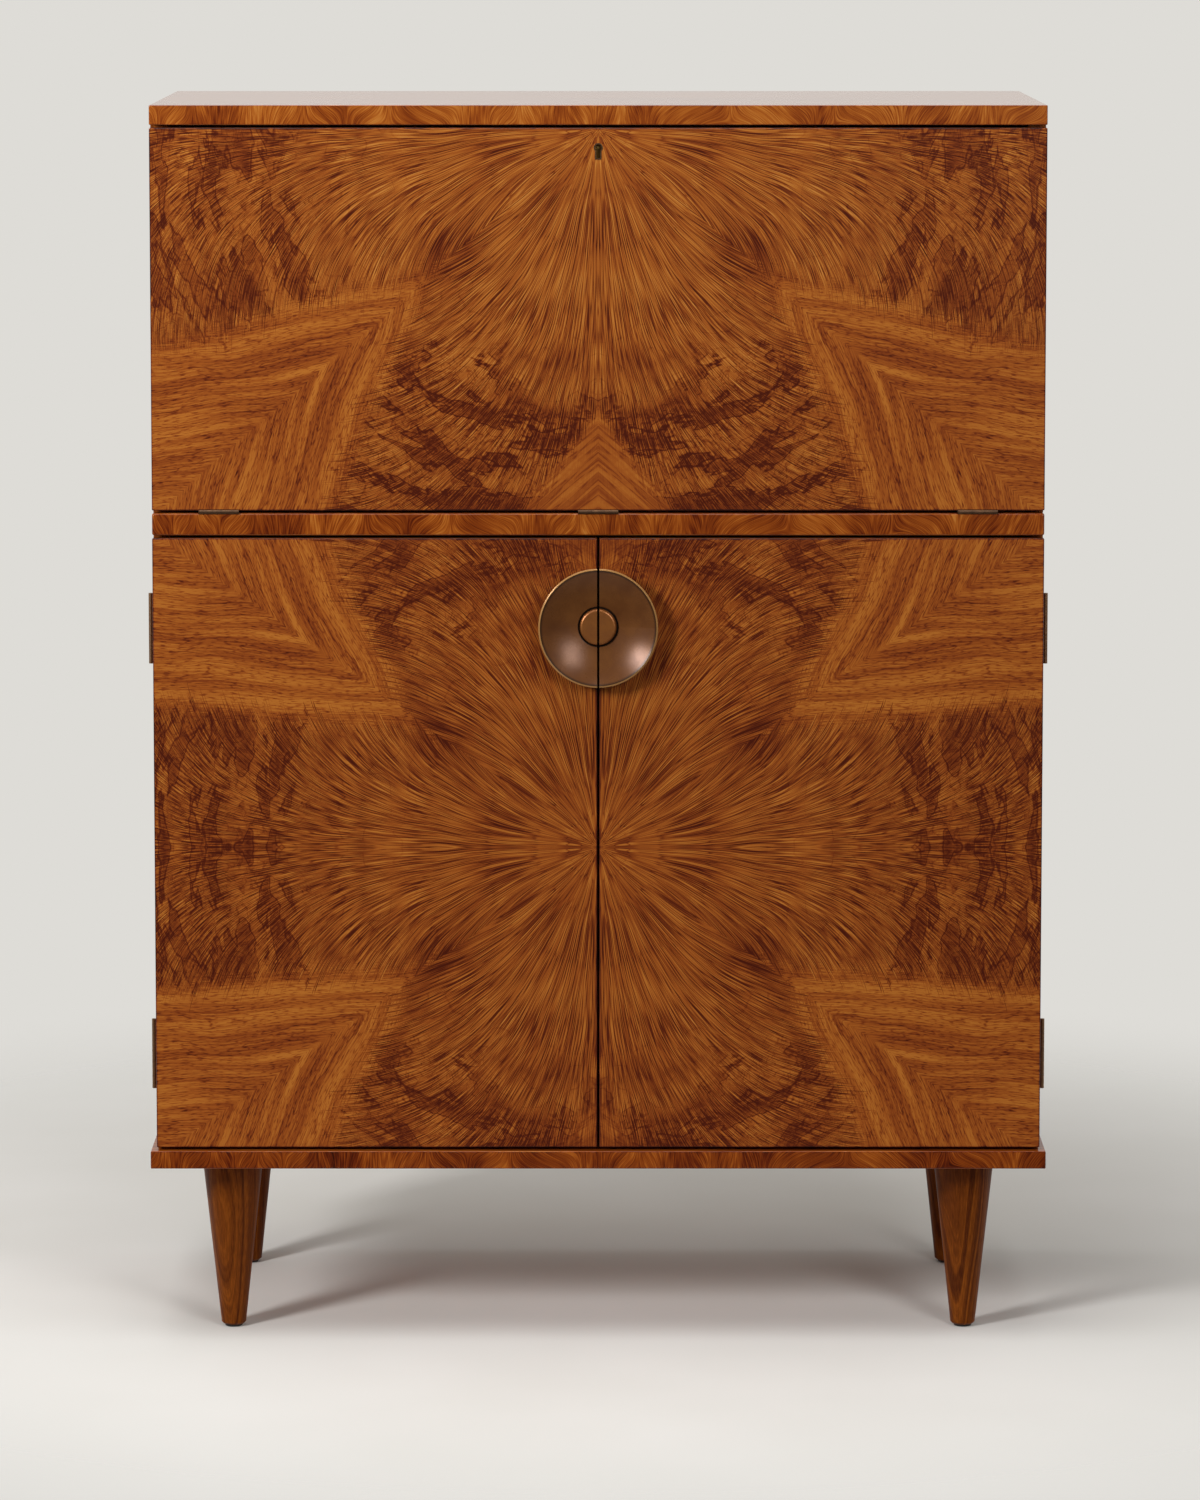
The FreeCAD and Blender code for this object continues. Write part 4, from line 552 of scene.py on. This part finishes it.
# Rolled brass, gone dull with age on the hinges, cleaner inside
dress(metal("dullBrass", "#765840", "#987557", 6.0, (0.38, 0.52)), "left_hinge_side_leaves",
      "right_hinge_side_leaves", "left_hinge_door_leaves", "right_hinge_door_leaves", "door_hinge_pins")
dress(metal("brightBrass", "#BC9450", "#D2AC66", 40.0, (0.26, 0.34)), "lock_case", "lock_bolt", "lock_strike",
      "left_stay_arm", "right_stay_arm", "stay_brackets", "stay_pins", "cupboard_shelf_pins",
      "glass_shelf_pins")
# Bright zinc on steel: cool grey with a faint cloud
screws = [name for name in nodes if name.endswith("_screws")]
dress(metal("zincSteel", "#8F9092", "#B4B5B6", 4.0, (0.3, 0.42)), *screws, "leg_bolts", "left_catch_plate",
      "right_catch_plate")
print("metal on pulls, hinges, lock and stays")

# Float glass with polished edges: clear, a little green where it is deep
glass, tree = newMaterial("floatGlass")
do = partial(add, tree)
place = do("TexCoord").outputs["Object"]
cloud = do("TexNoise", {"Vector": place, "Scale": 6.0})    # to one m, so about 170 mm
tint = do("ValToRGB", [cloud], stops=[(0.3, "#EAF5EF"), (0.7, "#F1F9F4")])
clear = {"Base Color": tint, "Roughness": 0.02, "IOR": 1.52, "Transmission Weight": 1.0}
do("OutputMaterial", [do("BsdfPrincipled", clear)])
dress(glass, "glass_shelf")
# Moulded nylon: black brown, with a fine dull grain
nylon, tree = newMaterial("mouldedNylon")
do = partial(add, tree)
place = do("TexCoord").outputs["Object"]
grit = do("TexNoise", {"Vector": place, "Scale": 900.0, "Detail": 2.0})    # to one m, so about 1 mm
tint = do("ValToRGB", [grit], stops=[(0.3, "#17130F"), (0.7, "#241E18")])
do("OutputMaterial", [do("BsdfPrincipled", {"Base Color": tint, "Roughness": 0.55})])
dress(nylon, "leg_glides", "door_catches")
print("glass and nylon done")

# Matt studio paper, pale, dissolving into the background before it ends
stage = {
    "centre": (0.0, 0.35, 0.0),
    "solid": 0.55,          # m from the centre to where it starts to dissolve
    "gone": 1.6,            # m to where nothing is left
    "spare": 0.1,           # m of paper past that
    "inset": 0.4,           # m from the rim to a second ring
    "sides": 96,
    "light": "#E9E7E3",
    "shade": "#E3E1DC",
}
bpy.ops.object.select_all(action="DESELECT")
bpy.ops.mesh.primitive_circle_add(vertices=stage["sides"], radius=stage["gone"] + stage["spare"],
                                  fill_type="NGON", location=stage["centre"])
floor = bpy.context.object
floor.name = "floor"
bpy.ops.object.transform_apply(location=True, rotation=True, scale=True)
bpy.ops.object.mode_set(mode="EDIT")
bpy.ops.mesh.select_all(action="SELECT")
bpy.ops.mesh.inset(thickness=stage["inset"])
bpy.ops.object.mode_set(mode="OBJECT")
paper, tree = newMaterial("studioPaper")
do = partial(add, tree)
place = do("TexCoord").outputs["Object"]
tint = do("TexNoise", {"Vector": place, "Scale": 3.0})    # to one m, so clouds of about 330 mm
tint = do("ValToRGB", [tint], stops=[(0.3, stage["shade"]), (0.7, stage["light"])])
reach = do("VectorMath", [place, stage["centre"]], operation="DISTANCE").outputs[1]
fade = do("MapRange", [reach, stage["solid"], stage["gone"], 0.0, 1.0], interpolation_type="SMOOTHSTEP")
shown = do("BsdfPrincipled", {"Base Color": tint, "Roughness": 0.9, "Specular IOR Level": 0.1})
do("OutputMaterial", [do("MixShader", [fade, shown, do("BsdfTransparent")])])
floor.data.materials.append(paper)
print("floor laid")

# soft light from the upper left front, a wide fill from the right, more from above; m and watts
lamps = [
    {"name": "keyLight", "watts": 104.0, "size": (0.7, 1.0),
     "at": (-2.6, -2.8, 2.2), "aim": (0.0, 0.0, 0.85)},
    {"name": "fillLight", "watts": 48.0, "size": (1.0, 1.5),
     "at": (1.7, -3.5, 2.1), "aim": (0.0, 0.0, 0.8)},
    {"name": "topLight", "watts": 70.0, "size": (2.4, 2.4),
     "at": (-0.4, -0.6, 3.6), "aim": (0.0, 0.3, 0.0)},
]
for lamp in lamps:
    data = bpy.data.lights.new(lamp["name"], "AREA")
    data.energy = lamp["watts"]
    data.shape = "RECTANGLE"
    data.size, data.size_y = lamp["size"]
    light = bpy.data.objects.new(lamp["name"], data)
    light.location = lamp["at"]
    aim = [a - b for a, b in zip(lamp["aim"], lamp["at"])]
    flatRun = math.hypot(aim[0], aim[1])
    light.rotation_euler = (math.atan2(flatRun, -aim[2]), 0.0, math.atan2(-aim[0], aim[1]))
    scene.collection.objects.link(light)

# pale walls to the eye and through glass; gloss sees the same walls with the dim end of the room in front
room = {
    "seen": "#DEDCD7",
    "pale": "#E2E0DB",
    "dim": "#34312E",
    "turn": (-0.75, 0.3),    # from front to back, where dim goes over to pale
    "strength": 0.5,
    "gloss": 0.9,
}
world = bpy.data.worlds.new("studioRoom")
world.use_nodes = True
world.node_tree.nodes.clear()
do = partial(add, world.node_tree)
facing = do("SeparateXYZ", [do("TexCoord").outputs["Generated"]]).outputs[1]
facing = do("MapRange", [facing, *room["turn"], 0.0, 1.0], interpolation_type="SMOOTHSTEP")
walls = do("ValToRGB", [facing], stops=[(0.0, room["dim"]), (1.0, room["pale"])])
path = do("LightPath")
seen = do("Math", [path.outputs["Is Camera Ray"], path.outputs["Is Transmission Ray"]], operation="MAXIMUM")
strength = do("Mix", {0: path.outputs["Is Glossy Ray"], 2: room["strength"], 3: room["gloss"]})
lit = do("Background", {"Color": walls, "Strength": strength})
backdrop = do("Background", {"Color": linear(room["seen"]), "Strength": 1.0})
do("OutputWorld", [do("MixShader", [seen, lit, backdrop])])
scene.world = world

# a long lens far back, a little above the top, with the picture shifted down
shot = {
    "at": (0.0, -6.851, 1.647),    # m
    "pitch": 6.09,                 # degrees down
    "focal": 5959.0,               # pixels
    "picture": (1200, 1500),       # pixels
    "axis": (598.2, 517.5),        # pixel that the lens points at
    "sensor": 36.0,                # mm, along the picture's longer side
}
wide, tall = shot["picture"]
cameraData = bpy.data.cameras.new("frontCamera")
cameraData.sensor_width = shot["sensor"]
cameraData.lens = shot["focal"] / tall * shot["sensor"]
cameraData.shift_x = (wide / 2 - shot["axis"][0]) / tall
cameraData.shift_y = (shot["axis"][1] - tall / 2) / tall
camera = bpy.data.objects.new("frontCamera", cameraData)
camera.location = shot["at"]
camera.rotation_euler = (math.radians(90.0 - shot["pitch"]), 0.0, 0.0)
scene.collection.objects.link(camera)
scene.camera = camera
scene.view_settings.view_transform = "Standard"
print("lamps, room and camera set up")
